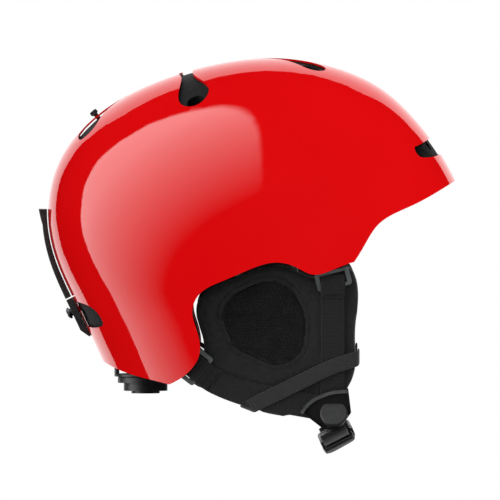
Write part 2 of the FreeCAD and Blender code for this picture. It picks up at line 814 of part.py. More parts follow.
def make_shutter():
    width = size("shutter_width")
    stem_room = 2 * (size("stem_radius") + STEM_ROOM)
    guide_width = stem_room + 2 * GUIDE_WALL
    plate_shape = arc_block(shutter_bottom, shutter_top, shutter_sweep(), width, SHUTTER_FACING)
    feature("vent_shutter", plate_shape)

    facing = KNOB_FACING
    foot = on_shutter_arc(shutter_top, facing)
    surface = crest_radius() + side_fall * 0.4 + size("knob_hover")
    top = on_shutter_arc(surface, facing)
    axis = top - foot
    stem = Part.makeCylinder(size("stem_radius"), axis.Length + 0.4, foot, axis)
    cap = Part.makeBox(size("knob_height"), size("knob_width"), size("knob_length"),
                       Vector(0, -size("knob_width") / 2, -size("knob_length") / 2))
    cap = rounded(cap, 1.1, Vector(0, 1, 0))
    cap.rotate(Vector(0, 0, 0), Vector(0, 1, 0), -facing)
    cap.translate(top)
    feature("slider_knob", stem.fuse(cap).removeSplitter())

    # the rail under the shutter, and two guide walls above it that the knob's stem runs between
    middle = SHUTTER_FACING - SHUTTER_TRAVEL / 2
    sweep = channel_sweep() - RAIL_SHORT
    rail = arc_block(rail_bottom, rail_top, sweep, width + 1.0, middle)
    window = arc_block(rail_bottom - 5, rail_top + 5, sweep - 2 * RAIL_END, width - 9.0, middle)
    under_spine = under_shell - GUIDE_GAP
    walls = arc_block(shutter_top + GUIDE_GAP, under_spine, sweep, guide_width, middle)
    to_post = (sweep - POST_SWEEP) / 2
    posts = [arc_block(rail_bottom, under_spine, POST_SWEEP, guide_width, middle + way * to_post)
             for way in (-1, 1)]
    path = arc_block(rail_bottom - 5, under_shell + 5, sweep - 2 * POST_SWEEP, stem_room, middle)
    feature("shutter_rail", fused([rail.cut(window), walls] + posts).cut(path))


# ---------------------------------------------------------------- goggle clip and rivet
CLIP_TOP = 64.0                   # heights of the clip's ends and of the flex line
CLIP_HEAD = 53.0                  # the thicker head begins here
CLIP_FLEX = 3.0
CLIP_TAPER = -19.0                # the foot thins from here down to its tip
CLIP_FOOT = -25.0
CLIP_TIP = 0.8                    # thickness of that tip
FLEX_SLIT = 1.0                   # room for the arm to tip outwards over the foot


def clip_section(z_low, z_high, thickness_low, thickness_high, gap_low, gap_high, count):
    """Side-view outline that follows the back of the shell between two heights."""
    inner = []
    outer = []
    start = share_at(z_high * up, rear=True)
    end = share_at(z_low * up, rear=True)
    for i in range(count):
        share = start + (end - start) * i / (count - 1)
        blend = i / (count - 1)
        gap = gap_high + (gap_low - gap_high) * blend
        thick = thickness_high + (thickness_low - thickness_high) * blend
        inner.append(on_centre_line(share, -gap)[0])
        outer.append(on_centre_line(share, -gap - thick)[0])
    edges = [spline(inner).toShape(), spline(outer).toShape(),
             Part.makeLine(inner[0], outer[0]), Part.makeLine(inner[-1], outer[-1])]
    width = size("clip_width")
    shape = prism(edges, Vector(0, width, 0))
    shape.translate(Vector(0, -width / 2, 0))
    return shape


RIVET_SEAT = 0.05


def make_clip():
    thick = size("clip_thickness")
    gap = size("clip_gap")
    seat_gap = size("clip_seat")
    arm = clip_section(CLIP_FLEX, CLIP_TOP, thick, thick * 0.8, gap, gap * 0.8, 9)
    head = clip_section(CLIP_HEAD, CLIP_TOP, thick * 0.8, thick + size("clip_head_extra"),
                        gap * 0.85, gap * 0.8, 4)
    feature("goggle_clip", fused([arm, head]))
    flex = on_centre_line(share_at(CLIP_FLEX * up, rear=True), -gap - thick / 2)[0]
    print("clip flex line", [round(v, 2) for v in (flex.x, 0, flex.z)])

    foot_thick = gap + thick - seat_gap
    foot = clip_section(CLIP_TAPER, CLIP_FLEX - FLEX_SLIT, foot_thick, foot_thick, seat_gap, seat_gap, 7)
    tip = clip_section(CLIP_FOOT, CLIP_TAPER, CLIP_TIP, foot_thick, seat_gap, seat_gap, 4)
    feature("clip_foot", fused([foot, tip]).cut(rivet_bore))

    # the rivet: a shank through foot and shell, a neck, and a head with a sloping top
    seat = rivet_point - rivet_inward * (gap + thick + RIVET_SEAT)
    outwards = facing_along(-rivet_inward)
    neck = bound("Part::Cylinder", "rivet_neck", Placement(seat, outwards),
                 Radius="sizes.rivet_neck_radius", Height="sizes.rivet_neck_height")
    head_low = seat - rivet_inward * size("rivet_neck_height")
    disc = bound("Part::Cylinder", "rivet_disc", Placement(head_low, outwards),
                 Radius="sizes.rivet_head_radius", Height="sizes.rivet_head_height / 2")
    head_middle = head_low - rivet_inward * size("rivet_head_height") / 2
    crown = bound("Part::Cone", "rivet_crown", Placement(head_middle, outwards),
                  Radius1="sizes.rivet_head_radius", Radius2="sizes.rivet_head_radius * 0.6",
                  Height="sizes.rivet_head_height / 2")
    shank = bound("Part::Cylinder", "rivet_shank", Placement(seat, facing_along(rivet_inward)),
                  Radius="sizes.rivet_shank_radius",
                  Height="sizes.clip_gap + sizes.clip_thickness + sizes.shell_wall + 0.3")
    made_of("Part::MultiFuse", "clip_rivet", Shapes=[neck, disc, crown, shank])


# ---------------------------------------------------------------- size adjuster
def turned(label, low, rings):
    """A PartDesign body turned about the dial's shaft.

    Each ring, from the lowest up, is its radius as a formula and its height as a formula;
    the sketch's dimensions are tied to the sheet through them.
    """
    body = doc.addObject("PartDesign::Body", label)
    body.Label = label
    plane = next(f for f in body.Origin.OriginFeatures if f.Role == "XZ_Plane")
    sketch = body.newObject("Sketcher::SketchObject", label + "_profile")
    sketch.AttachmentSupport = [(plane, "")]
    sketch.MapMode = "FlatFace"
    points = [Vector(0, low, 0)]
    level = low
    for radius, height, _, _ in rings:
        points += [Vector(radius, level, 0), Vector(radius, level + height, 0)]
        level += height
    points.append(Vector(0, level, 0))
    lines = list(zip(points, points[1:] + points[:1]))
    for start, end in lines:
        sketch.addGeometry(Part.LineSegment(start, end), False)
    for i in range(len(lines)):
        sketch.addConstraint(Sketcher.Constraint("Coincident", i, 2, (i + 1) % len(lines), 1))
        sketch.addConstraint(Sketcher.Constraint("Vertical" if i % 2 else "Horizontal", i))
    sketch.addConstraint(Sketcher.Constraint("PointOnObject", len(lines) - 1, 1, -2))
    sketch.addConstraint(Sketcher.Constraint("DistanceY", 0, 1, -1, 1, -low))
    for i, (radius, height, radius_cell, height_cell) in enumerate(rings):
        side_line = 2 * i + 1
        across_axis = Sketcher.Constraint("DistanceX", -1, 1, side_line, 1, radius)
        tied = sketch.addConstraint(across_axis)
        sketch.setExpression("Constraints[%d]" % tied, "sizes." + radius_cell)
        tall = sketch.addConstraint(Sketcher.Constraint("DistanceY", side_line, 1, side_line, 2, height))
        if height_cell:
            sketch.setExpression("Constraints[%d]" % tall, "sizes." + height_cell)
    turn = body.newObject("PartDesign::Revolution", label + "_turned")
    turn.Profile = sketch
    turn.ReferenceAxis = (sketch, ["V_Axis"])
    turn.Angle = 360.0
    body.Placement = Placement(dial_place, Rotation())
    sub_parts.append(body)
    return body


LID_SEAT = 0.05                   # the lid sits this far under the housing's posts
DIAL_CLEAR = 0.5                  # the dial turns this far under the lid
SHAFT_SHORT = 0.3                 # the shaft ends inside the top plate


def make_adjuster():
    radius = size("housing_radius")
    shaft = size("dial_shaft_radius")
    gap = size("dial_gap")
    high = size("housing_top")

    def disc(r, low, top):
        return Part.makeCylinder(r, top - low, dial_place + Vector(0, 0, low))

    bore = disc(shaft + gap, -FAR, FAR)
    post = disc(radius, cover_high, top_plate_low).cut(disc(radius - 2.2, -FAR, FAR))
    keep = Part.makeBox(4 * radius, 14.0, FAR, Vector(-dial_radius - 2 * radius, -7.0, -FAR / 2 - 50))
    posts = post.common(keep)
    feature("dial_housing", fused([disc(radius, top_plate_low, high), posts]).cut(bore))
    lid_place = Placement(dial_place + Vector(0, 0, cover_low - LID_SEAT), Rotation())
    lid = bound("Part::Cylinder", "lid_disc", lid_place,
                Radius="sizes.housing_radius", Height="sizes.plate_thickness")
    lid_bore = bound("Part::Cylinder", "lid_bore", lid_place,
                     Radius="sizes.dial_shaft_radius + sizes.dial_gap", Height="sizes.plate_thickness")
    made_of("Part::Cut", "dial_cover", Base=lid, Tool=lid_bore)

    flange_top = cover_low - DIAL_CLEAR
    rings = [(size(part + "_radius"), size(part + "_height"), part + "_radius", part + "_height")
             for part in ("dial_cap", "dial_grip", "dial_flange")]
    knob_low = flange_top - sum(height for _, height, _, _ in rings)
    rings.append((shaft, high - SHAFT_SHORT - flange_top, "dial_shaft_radius", None))
    turned("dial_knob", knob_low, rings)

    # A gap of the pinion faces the inner rack, where a rack tooth sits, and a tooth
    # faces the outer rack, where the rack has a gap, whatever the tooth numbers are.
    teeth = int(size("pinion_teeth"))
    pitch_angle = 2 * math.pi / teeth
    facing = pitch_angle / 2
    gear = pinion_face(facing).extrude(Vector(0, 0, rack_top - rack_low - 0.6))
    gear.translate(dial_place + Vector(0, 0, rack_low + 0.3))
    gear = gear.cut(disc(shaft + 0.005, -FAR, FAR))
    feature("dial_pinion", gear)

    # Angles are from +X about the head axis; the racks cross the rear, at 180 degrees.
    inner_step = module / inner_pitch
    outer_step = module / outer_pitch
    half_turn = math.pi
    inner_count = int(math.radians(travel_inner) / (inner_step * math.pi)) + 3
    outer_count = int(math.radians(travel_outer) / (outer_step * math.pi)) + 3
    inner_at = [half_turn + inner_step * math.pi * i for i in range(-1, inner_count)]
    far_side = pitch_angle * round(half_turn / pitch_angle - 0.5) + facing
    lag = (half_turn - far_side) * pinion_pitch / outer_pitch
    outer_at = [half_turn - lag + outer_step * math.pi * (0.5 - i) for i in range(-1, outer_count)]
    outer_at.sort()
    inner_span = (inner_at[0] - inner_step * 2, inner_at[-1] + inner_step * 6)
    outer_span = (outer_at[0] - outer_step * 6, outer_at[-1] + outer_step * 2)
    height = size("rack_height")
    dedendum = size("gear_dedendum")
    band_outer = inner_pitch - dedendum
    band_inner = band_outer - size("rack_backing")

    right = rack_face(False, inner_at, inner_span).extrude(Vector(0, 0, height))
    right.translate(Vector(0, 0, rack_low))
    strip = ring_piece(band_inner, band_outer, inner_span[1] - 0.01, math.radians(255), rack_low, height)
    tall = ring_piece(band_inner, band_outer, math.radians(212), math.radians(262), rack_low,
                      size("arm_height"))
    feature("fit_arm_right", fused([right, strip, tall]))

    left = rack_face(True, outer_at, outer_span).extrude(Vector(0, 0, height))
    left.translate(Vector(0, 0, rack_low))
    back_low = outer_pitch + dedendum
    back_high = back_low + size("rack_backing")
    jog = math.radians(148.5)
    strip = ring_piece(back_low, back_high, jog, outer_span[0] + 0.01, rack_low, height)
    web = ring_piece(band_inner, back_high, jog - 0.05, jog, rack_low, height)
    tall = ring_piece(band_inner, band_outer, math.radians(98), jog - 0.02, rack_low,
                      size("arm_height"))
    feature("fit_arm_left", fused([left, strip, web, tall]))


def ring_piece(inner_radius, outer_radius, angle_from, angle_to, low, height):
    """A sector of a ring about the head axis, angles in radians from +X."""
    sweep = math.degrees(angle_to - angle_from)
    ring = Part.makeCylinder(outer_radius, height, Vector(0, 0, low), Vector(0, 0, 1), sweep)
    ring = ring.cut(Part.makeCylinder(inner_radius, height * 3, Vector(0, 0, low - height)))
    ring.rotate(Vector(0, 0, 0), Vector(0, 0, 1), math.degrees(angle_from))
    return ring


# ---------------------------------------------------------------- ear pads and straps
def anchor_ring(side, middle, turn, width_inside):
    """A rectangular wire loop that holds a strap at the rim, in the straps' layer."""
    wire = size("anchor_wire")
    x, z = spot(*middle)
    outer = Part.makeBox(width_inside + 2 * wire, 2.4, 13.0,
                         Vector(-width_inside / 2 - wire, -1.2, -6.5))
    outer = rounded(outer, 2.2, Vector(0, 1, 0))
    hole = Part.makeBox(width_inside, 6.0, 13.0 - 2 * wire * 0.8,
                        Vector(-width_inside / 2, -3.0, -6.5 + wire * 0.8))
    ring = outer.cut(hole)
    ring.rotate(Vector(0, 0, 0), Vector(0, 1, 0), turn)
    ring.translate(Vector(x, side * (elastic_low + 1.6), z))
    return ring


def make_side(name, side):
    thickness = size("pad_thickness")
    place = lean(side)
    pad = layer(EAR_PAD, side, -thickness, 0.0)
    oval = layer(MESH_OVAL, side, -thickness * 2, thickness)
    sockets = [stud_hole(side, x, z) for x, z in STUD_SPOTS]
    feature("ear_pad_" + name, pad.cut([oval] + sockets), place)
    mesh_top = -size("mesh_inset")
    gap = size("mesh_gap")
    mesh = layer(shrunk(MESH_OVAL, gap * 1.4), side, mesh_top - size("mesh_thickness"), mesh_top)
    feature("ear_mesh_" + name, mesh, place)
    studs = [bound("Part::Cylinder", "stud_%s_%d" % (name, i),
                   place * Placement(stud_place(side, x, z), Rotation()),
                   Radius="sizes.stud_radius", Height="sizes.stud_length")
             for i, (x, z) in enumerate(STUD_SPOTS)]
    made_of("Part::Compound", "pad_studs_" + name, Links=studs)

    bar("front_strap_" + name, FRONT_STRAP[0], FRONT_STRAP[1], "strap_width", "strap_thickness",
        webbing_low, side)
    bar("elastic_band_" + name, ELASTIC[0], ELASTIC[1], "elastic_width", "elastic_thickness",
        elastic_low, side)
    rear = band(REAR_STRAP, size("strap_width"), side, webbing_low, webbing_high)
    feature("rear_strap_" + name, rear, place)
    inside = size("strap_width") + 1.2
    feature("front_anchor_" + name, anchor_ring(side, FRONT_ANCHOR, FRONT_ANCHOR_TURN, inside), place)
    feature("rear_anchor_" + name, anchor_ring(side, REAR_ANCHOR, REAR_ANCHOR_TURN, inside), place)
    make_divider(name, side, place)


def make_divider(name, side, place):
    """The fan that gathers both straps, with its raised rim and its round cap."""
    arc = side_points(FAN_ARC, 0.0)
    foot = side_points(FAN_FOOT, 0.0)
    low = webbing_low - 0.3
    high = low + size("divider_thickness")

    def fan(arc_points, corners, y_low, y_high):
        edges = [Part.Arc(*arc_points).toShape()]
        chain = [arc_points[-1]] + corners + [arc_points[0]]
        edges += [Part.makeLine(a, b) for a, b in zip(chain, chain[1:])]
        shape = prism(edges, Vector(0, side * (y_high - y_low), 0))
        shape.translate(Vector(0, side * y_low, 0))
        return shape

    body = fan(arc, foot, low, high)
    middle = Vector(DISC_SPOT[0] * along, 0, DISC_SPOT[1] * up)
    lowered = [p + (middle - p).normalize() * size("divider_rim") for p in arc]
    dish = fan(lowered, foot, high - 1.3, high + 1.0)
    slot_low = webbing_low - 0.1
    slot = Part.makeBox(40.0, webbing_high - webbing_low + 0.3, 30.0)
    y = slot_low if side > 0 else -slot_low - (webbing_high - webbing_low + 0.3)
    slot.translate(Vector(middle.x - 26.0, y, middle.z - 4.6))
    cap_radius = size("cap_radius")
    seat_turn = Rotation(Vector(1, 0, 0), side * CAP_TIP)
    seat = Vector(middle.x, side * (high - 1.6), middle.z)
    boss = Part.makeCylinder(cap_radius - 1.2, 5.0, seat - seat_turn.multVec(Vector(0, side * 2.2, 0)),
                             seat_turn.multVec(Vector(0, side, 0)))
    body = body.cut(dish).fuse(boss).cut(slot).removeSplitter()
    face = seat + seat_turn.multVec(Vector(0, side * 2.8, 0))
    cap = Part.makeCylinder(cap_radius, size("cap_thickness"), face, seat_turn.multVec(Vector(0, side, 0)))
    rim_edges = [e for e in cap.Edges if e.Closed and (e.CenterOfMass - face).Length > 1.0]
    cap = cap.makeFillet(0.9, rim_edges)
    feature("strap_divider_" + name, body.cut(cap), place)
    feature("divider_cap_" + name, cap, place)


# ---------------------------------------------------------------- chin strap and buckle
KEEPER_TIP = -7.0                 # the keeper follows the strap's rise, degrees


def make_chin():
    place = chin_frame()
    width = size("chin_width")
    thick = size("chin_thickness")
    shoulder = chin_y * CHIN_SHOULDER
    rise = chin_z - chin_low
    start = tongue_tail()
    level = [(shoulder * share, sag(shoulder * share)) for share in (-1, -0.85, -0.7, -0.5, -0.25, 0)]
    right = [(-chin_y * 0.98, rise * 0.86), (-chin_y * 0.95, rise * 0.66)] + level
    right += [(start / 2, sag(start / 2)), (start - 0.6, sag(start - 0.6))]
    feature("chin_strap", chin_ribbon(right, thick, width), place)
    end = buckle_y + size("socket_length")
    left = [(end + 0.6, sag(end + 0.6)), (chin_y * 0.9, rise * 0.5),
            (chin_y * 0.95, rise * 0.66), (chin_y * 0.98, rise * 0.86)]
    feature("buckle_strap", chin_ribbon(left, thick, width), place)

    reach = size("sleeve_half_length")
    middle = start - RELEASE_TRAVEL - 2.0 - reach
    line = [(middle + reach * share, sag(middle + reach * share))
            for share in (-1.0, -0.5, 0.0, 0.5, 0.98)]
    wall_thick = size("sleeve_wall")
    sleeve = chin_ribbon(line, thick + 2 * wall_thick, width + 2 * wall_thick * 0.8)
    tunnel = chin_ribbon(extended(line), thick + 0.6, width + 0.6)
    feature("chin_sleeve", sleeve.cut(tunnel), place)

    keeper_y = -shoulder * 0.86
    length = size("keeper_length")
    keeper_wall = size("keeper_wall")
    room = size("keeper_room")
    middle = place * Placement(Vector(0, keeper_y, sag(keeper_y)), Rotation(Vector(1, 0, 0), KEEPER_TIP))
    deep = thick / 2 + room + keeper_wall
    broad = width / 2 + room + keeper_wall
    ring = bound("Part::Box", "keeper_ring",
                 middle * Placement(Vector(-broad, -length / 2, -deep), Rotation()),
                 Length="sizes.chin_width + 2 * sizes.keeper_room + 2 * sizes.keeper_wall",
                 Width="sizes.keeper_length",
                 Height="sizes.chin_thickness + 2 * sizes.keeper_room + 2 * sizes.keeper_wall")
    loop = bound("Part::Box", "keeper_loop",
                 middle * Placement(Vector(keeper_wall - broad, -length, keeper_wall - deep), Rotation()),
                 Length="sizes.chin_width + 2 * sizes.keeper_room", Width="sizes.keeper_length * 2",
                 Height="sizes.chin_thickness + 2 * sizes.keeper_room")
    made_of("Part::Cut", "strap_keeper", Base=ring, Tool=loop)
    make_buckle(place)


def extended(line):
    """The same line carried on a little past both ends."""
    (y0, z0), (y1, z1) = line[0], line[1]
    (y2, z2), (y3, z3) = line[-2], line[-1]
    first = (y0 - (y1 - y0) * 0.2, z0 - (z1 - z0) * 0.2)
    final = (y3 + (y3 - y2) * 0.2, z3 + (z3 - z2) * 0.2)
    return [first] + line + [final]


def tongue_tail():
    """Where the tongue's strap bar ends, on the wearer's right of the buckle's mouth."""
    return buckle_y - 9.0


def make_buckle(place):
    width = size("buckle_width")
    height = size("buckle_height")
    wall_thick = size("buckle_wall")
    gap = size("buckle_gap")
    length = size("socket_length")
    reach = size("tongue_length") - 9.0
    inside_width = width - 2 * wall_thick
    inside_height = height - 2 * wall_thick

    socket = rounded(block(width, 0.0, length, height), 2.4, Vector(0, 1, 0))
    cavity = block(inside_width, -1.0, reach + 1.0, inside_height)
    windows = block(width + 4.0, 5.0, reach - 3.0, inside_height - 1.0)
    strap_slot = block(size("chin_width") + 0.8, length - 7.0, length - 3.6, height + 2.0)
    tail_slot = block(size("chin_width") + 0.8, length - 4.0, length + 1.0, size("chin_thickness") + 0.5)
    socket = socket.cut([cavity, windows, strap_slot, tail_slot])
    feature("buckle_socket", in_buckle(socket), place)

    prong = 5.0
    half = inside_width / 2 - gap
    arms = [Part.makeBox(prong, reach, inside_height - 2 * gap,
                         Vector(x, 0, -inside_height / 2 + gap)) for x in (-half, half - prong)]
    spine = block(4.0, -1.0, reach - 2.0, inside_height - 2 * gap)
    bridge = block(width - 0.6, -9.0, -0.4, height - 0.6)
    root = block(2 * half, -1.0, 2.0, inside_height - 2 * gap)
    bar_slot = block(size("chin_width") + 0.8, -9.5, -3.0, size("chin_thickness") + 0.5)
    tongue = fused(arms + [spine, root, rounded(bridge, 2.0, Vector(0, 1, 0))]).cut(bar_slot)
    feature("buckle_tongue", in_buckle(tongue), place)
    heading = place.Rotation.multVec(Rotation(Vector(1, 0, 0), buckle_rise).multVec(Vector(0, -1, 0)))
    print("buckle release direction", [round(v, 5) for v in heading])


make_dome_pieces()
make_shutter()
make_clip()
make_adjuster()
for side_name, side_sign in SIDES:
    make_side(side_name, side_sign)
make_chin()
doc.recompute()

for piece in doc.Objects:
    if "Invalid" in piece.State or "Error" in piece.State:
        raise RuntimeError("failed object: " + piece.Label)
for piece in sub_parts:
    if piece.Shape.isNull() or not piece.Shape.isValid():
        raise RuntimeError("bad shape: " + piece.Label)
for piece in sub_parts:
    piece.Shape.exportStep("parts/%s.step" % piece.Label)
    print("%-22s %2d solid(s) %10.0f mm3" % (piece.Label, len(piece.Shape.Solids), piece.Shape.Volume))
print(len(sub_parts), "sub-parts")
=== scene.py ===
# %% [markdown]
# # A red ski helmet
# The helmet's solid parts come from its CAD model, already in place. This lesson builds
# what the eye judges: a glossy skin whose reflections flow, pads that look stuffed,
# woven straps with real thickness, and a studio that shows them. Lengths are in metres;
# the constant MM keeps small sizes readable.

# %% Load the helmet's frame
import bpy
import bmesh
import math
from mathutils import Matrix, Vector


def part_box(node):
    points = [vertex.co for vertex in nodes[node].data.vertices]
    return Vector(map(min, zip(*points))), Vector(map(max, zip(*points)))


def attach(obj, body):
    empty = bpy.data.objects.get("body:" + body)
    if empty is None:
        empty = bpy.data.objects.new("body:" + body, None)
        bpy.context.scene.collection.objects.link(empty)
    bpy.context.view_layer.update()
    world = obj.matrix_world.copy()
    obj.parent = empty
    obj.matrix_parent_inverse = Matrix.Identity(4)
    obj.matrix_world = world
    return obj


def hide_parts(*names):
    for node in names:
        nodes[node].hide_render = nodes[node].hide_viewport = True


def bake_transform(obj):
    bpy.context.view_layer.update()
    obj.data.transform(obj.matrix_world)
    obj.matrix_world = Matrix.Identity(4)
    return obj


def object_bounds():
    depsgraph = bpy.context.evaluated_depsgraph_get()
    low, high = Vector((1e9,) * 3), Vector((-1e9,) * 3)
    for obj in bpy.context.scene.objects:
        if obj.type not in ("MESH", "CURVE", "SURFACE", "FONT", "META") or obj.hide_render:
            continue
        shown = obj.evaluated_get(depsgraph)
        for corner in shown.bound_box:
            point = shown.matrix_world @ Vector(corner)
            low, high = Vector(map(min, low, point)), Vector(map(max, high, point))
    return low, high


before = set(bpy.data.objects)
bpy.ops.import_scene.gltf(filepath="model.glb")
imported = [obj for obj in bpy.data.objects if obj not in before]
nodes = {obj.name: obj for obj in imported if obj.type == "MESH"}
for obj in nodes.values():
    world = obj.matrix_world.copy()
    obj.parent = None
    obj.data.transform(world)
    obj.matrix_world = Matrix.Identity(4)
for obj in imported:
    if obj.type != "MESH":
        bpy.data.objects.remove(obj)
cad_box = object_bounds()
MM = 0.001
print("frame:", len(nodes), "nodes, box in mm", [round((b - a) * 1000) for a, b in zip(*cad_box)])

# %% [markdown]
# ## The camera
# The helmet is seen square from the wearer's right, from a little above. A long lens keeps
# the near ear pad and the far rim at nearly the same size.

# %% Camera
LENS = 900.0
SENSOR = 36.0
FIELD = 352.0 * MM                # width of what the lens sees at the centre plane
ELEVATION = math.radians(1.0)
AIM = Vector((-3.5 * MM, 0, 35.2 * MM))
distance = FIELD * LENS / SENSOR
back = Vector((0, -math.cos(ELEVATION), math.sin(ELEVATION)))
camera_data = bpy.data.cameras.new("camera")
camera = bpy.data.objects.new("camera", camera_data)
bpy.context.collection.objects.link(camera)
camera_data.lens = LENS
camera_data.sensor_width = SENSOR
camera_data.clip_end = 50
camera.location = AIM + back * distance
camera.rotation_mode = "QUATERNION"
camera.rotation_quaternion = (-back).to_track_quat("-Z", "Y")
bpy.context.scene.camera = camera
print("camera at", [round(v, 3) for v in camera.location])

# %% [markdown]
# ## Tools for finishes
# Every finish is a small node tree. One function adds a node with its settings and links,
# and one turns a painter's sRGB hex value into the linear numbers that Cycles expects.

# %% Colour and node helpers
def linear(hex_code):
    """A hex sRGB colour as linear RGBA."""
    values = [int(hex_code[i:i + 2], 16) / 255 for i in (1, 3, 5)]
    return [v / 12.92 if v <= 0.04045 else ((v + 0.055) / 1.055) ** 2.4 for v in values] + [1.0]


def finish_named(name):
    """An empty material with its shader: the tree, the shader and the object coordinates."""
    material = bpy.data.materials.new(name)
    material.use_nodes = True
    tree = material.node_tree
    shader = tree.nodes["Principled BSDF"]
    place = tree.nodes.new("ShaderNodeTexCoord").outputs["Object"]
    return material, tree, shader, place


def add(tree, kind, links=None, **settings):
    """Add a node; settings name its properties or inputs, links its inputs' sources."""
    node = tree.nodes.new(kind)
    for key, value in settings.items():
        name = key.replace("_", " ")
        if hasattr(node, key):
            setattr(node, key, value)
        elif name in node.inputs:
            node.inputs[name].default_value = value
    for key, source in (links or {}).items():
        tree.links.new(source, node.inputs[key])
    return node


def set_shader(shader, **values):
    for key, value in values.items():
        shader.inputs[key.replace("_", " ")].default_value = value


def mottled(tree, place, dark, light, scale, detail=3.0):
    """Two close colours mixed by noise: no real surface is one flat colour."""
    noise = add(tree, "ShaderNodeTexNoise", {"Vector": place}, Scale=scale, Detail=detail)
    ramp = add(tree, "ShaderNodeValToRGB", {"Fac": noise.outputs["Fac"]})
    ramp.color_ramp.elements[0].position = 0.35
    ramp.color_ramp.elements[1].position = 0.65
    ramp.color_ramp.elements[0].color = linear(dark)
    ramp.color_ramp.elements[1].color = linear(light)
    return ramp.outputs["Color"]


def bumped(tree, height, strength, depth):
    """A bump whose full height is depth, in metres."""
    bump = add(tree, "ShaderNodeBump", {"Height": height}, Strength=strength, Distance=depth)
    return bump.outputs["Normal"]


# %% [markdown]
# ## The finishes
# The shell is thermoformed polycarbonate, coloured from behind and glossy in front: a red
# base under a clear coat. Polycarbonate's index of refraction is 1.58. The foam is moulded
# EPS beads of about 3 mm. Hard black parts are moulded nylon with a fine spark-eroded
# grain; straps are woven polyester with ribs about 1 mm apart; pads are brushed tricot.

# %% Shell, foam and moulded plastics
def red_polycarbonate():
    material, tree, shader, place = finish_named("red_polycarbonate_thermoformed")
    colour = mottled(tree, place, "#E80A0E", "#EC0D10", 9.0)
    tree.links.new(colour, shader.inputs["Base Color"])
    set_shader(shader, Roughness=0.45, Specular_IOR_Level=0.0, Coat_Weight=1.0,
               Coat_Roughness=0.035, Coat_IOR=1.5)
    peel = add(tree, "ShaderNodeTexNoise", {"Vector": place}, Scale=55.0, Detail=1.0)
    tree.links.new(bumped(tree, peel.outputs["Fac"], 0.08, 0.02 * MM), shader.inputs["Coat Normal"])
    return material


def eps_foam():
    material, tree, shader, place = finish_named("black_eps_foam_moulded")
    beads = add(tree, "ShaderNodeTexVoronoi", {"Vector": place}, Scale=1 / (3.2 * MM))
    colour = mottled(tree, place, "#050606", "#0C0D0D", 1 / (3.2 * MM), 1.0)
    tree.links.new(colour, shader.inputs["Base Color"])
    set_shader(shader, Roughness=0.7, Specular_IOR_Level=0.2)
    tree.links.new(bumped(tree, beads.outputs["Distance"], 0.6, 0.5 * MM), shader.inputs["Normal"])
    return material


def moulded_plastic(name, dark, light, roughness, grain=0.25):
    material, tree, shader, place = finish_named(name)
    tree.links.new(mottled(tree, place, dark, light, 160.0), shader.inputs["Base Color"])
    spark = add(tree, "ShaderNodeTexNoise", {"Vector": place}, Scale=1 / (0.5 * MM), Detail=2.0)
    rough = add(tree, "ShaderNodeMapRange", {"Value": spark.outputs["Fac"]})
    rough.inputs["To Min"].default_value = roughness - 0.07
    rough.inputs["To Max"].default_value = roughness + 0.1
    tree.links.new(rough.outputs["Result"], shader.inputs["Roughness"])
    set_shader(shader, IOR=1.5)
    tree.links.new(bumped(tree, spark.outputs["Fac"], grain, 0.12 * MM), shader.inputs["Normal"])
    return material


SHELL_RED = red_polycarbonate()
LINER_FOAM = eps_foam()
BLACK_NYLON = moulded_plastic("black_nylon_moulded", "#141415", "#1B1B1C", 0.42)
FACE_NYLON = moulded_plastic("black_nylon_satin", "#1E1F1F", "#282929", 0.45)
GREY_ACETAL = moulded_plastic("grey_acetal_moulded", "#494D4E", "#585C5D", 0.32, 0.12)
RIM_RUBBER = moulded_plastic("grey_rubber_overmoulded", "#434444", "#4D4E4E", 0.55)
KEEPER_RUBBER = moulded_plastic("black_rubber_moulded", "#0B0B0C", "#131314", 0.75)
MESH_PLASTIC = moulded_plastic("black_polypropylene_mesh", "#141415", "#1E1E1F", 0.5)
print("moulded finishes ready")

# %% Steel of the rivet
def blackened_steel():
    material, tree, shader, place = finish_named("blackened_steel_turned")
    colour = mottled(tree, place, "#4A4C4F", "#5C5E62", 400.0)
    tree.links.new(colour, shader.inputs["Base Color"])
    set_shader(shader, Metallic=1.0)
    lathe = add(tree, "ShaderNodeTexNoise", {"Vector": place}, Scale=1 / (0.4 * MM), Detail=3.0)
    rough = add(tree, "ShaderNodeMapRange", {"Value": lathe.outputs["Fac"]})
    rough.inputs["To Min"].default_value = 0.3
    rough.inputs["To Max"].default_value = 0.5
    tree.links.new(rough.outputs["Result"], shader.inputs["Roughness"])
    return material


RIVET_STEEL = blackened_steel()

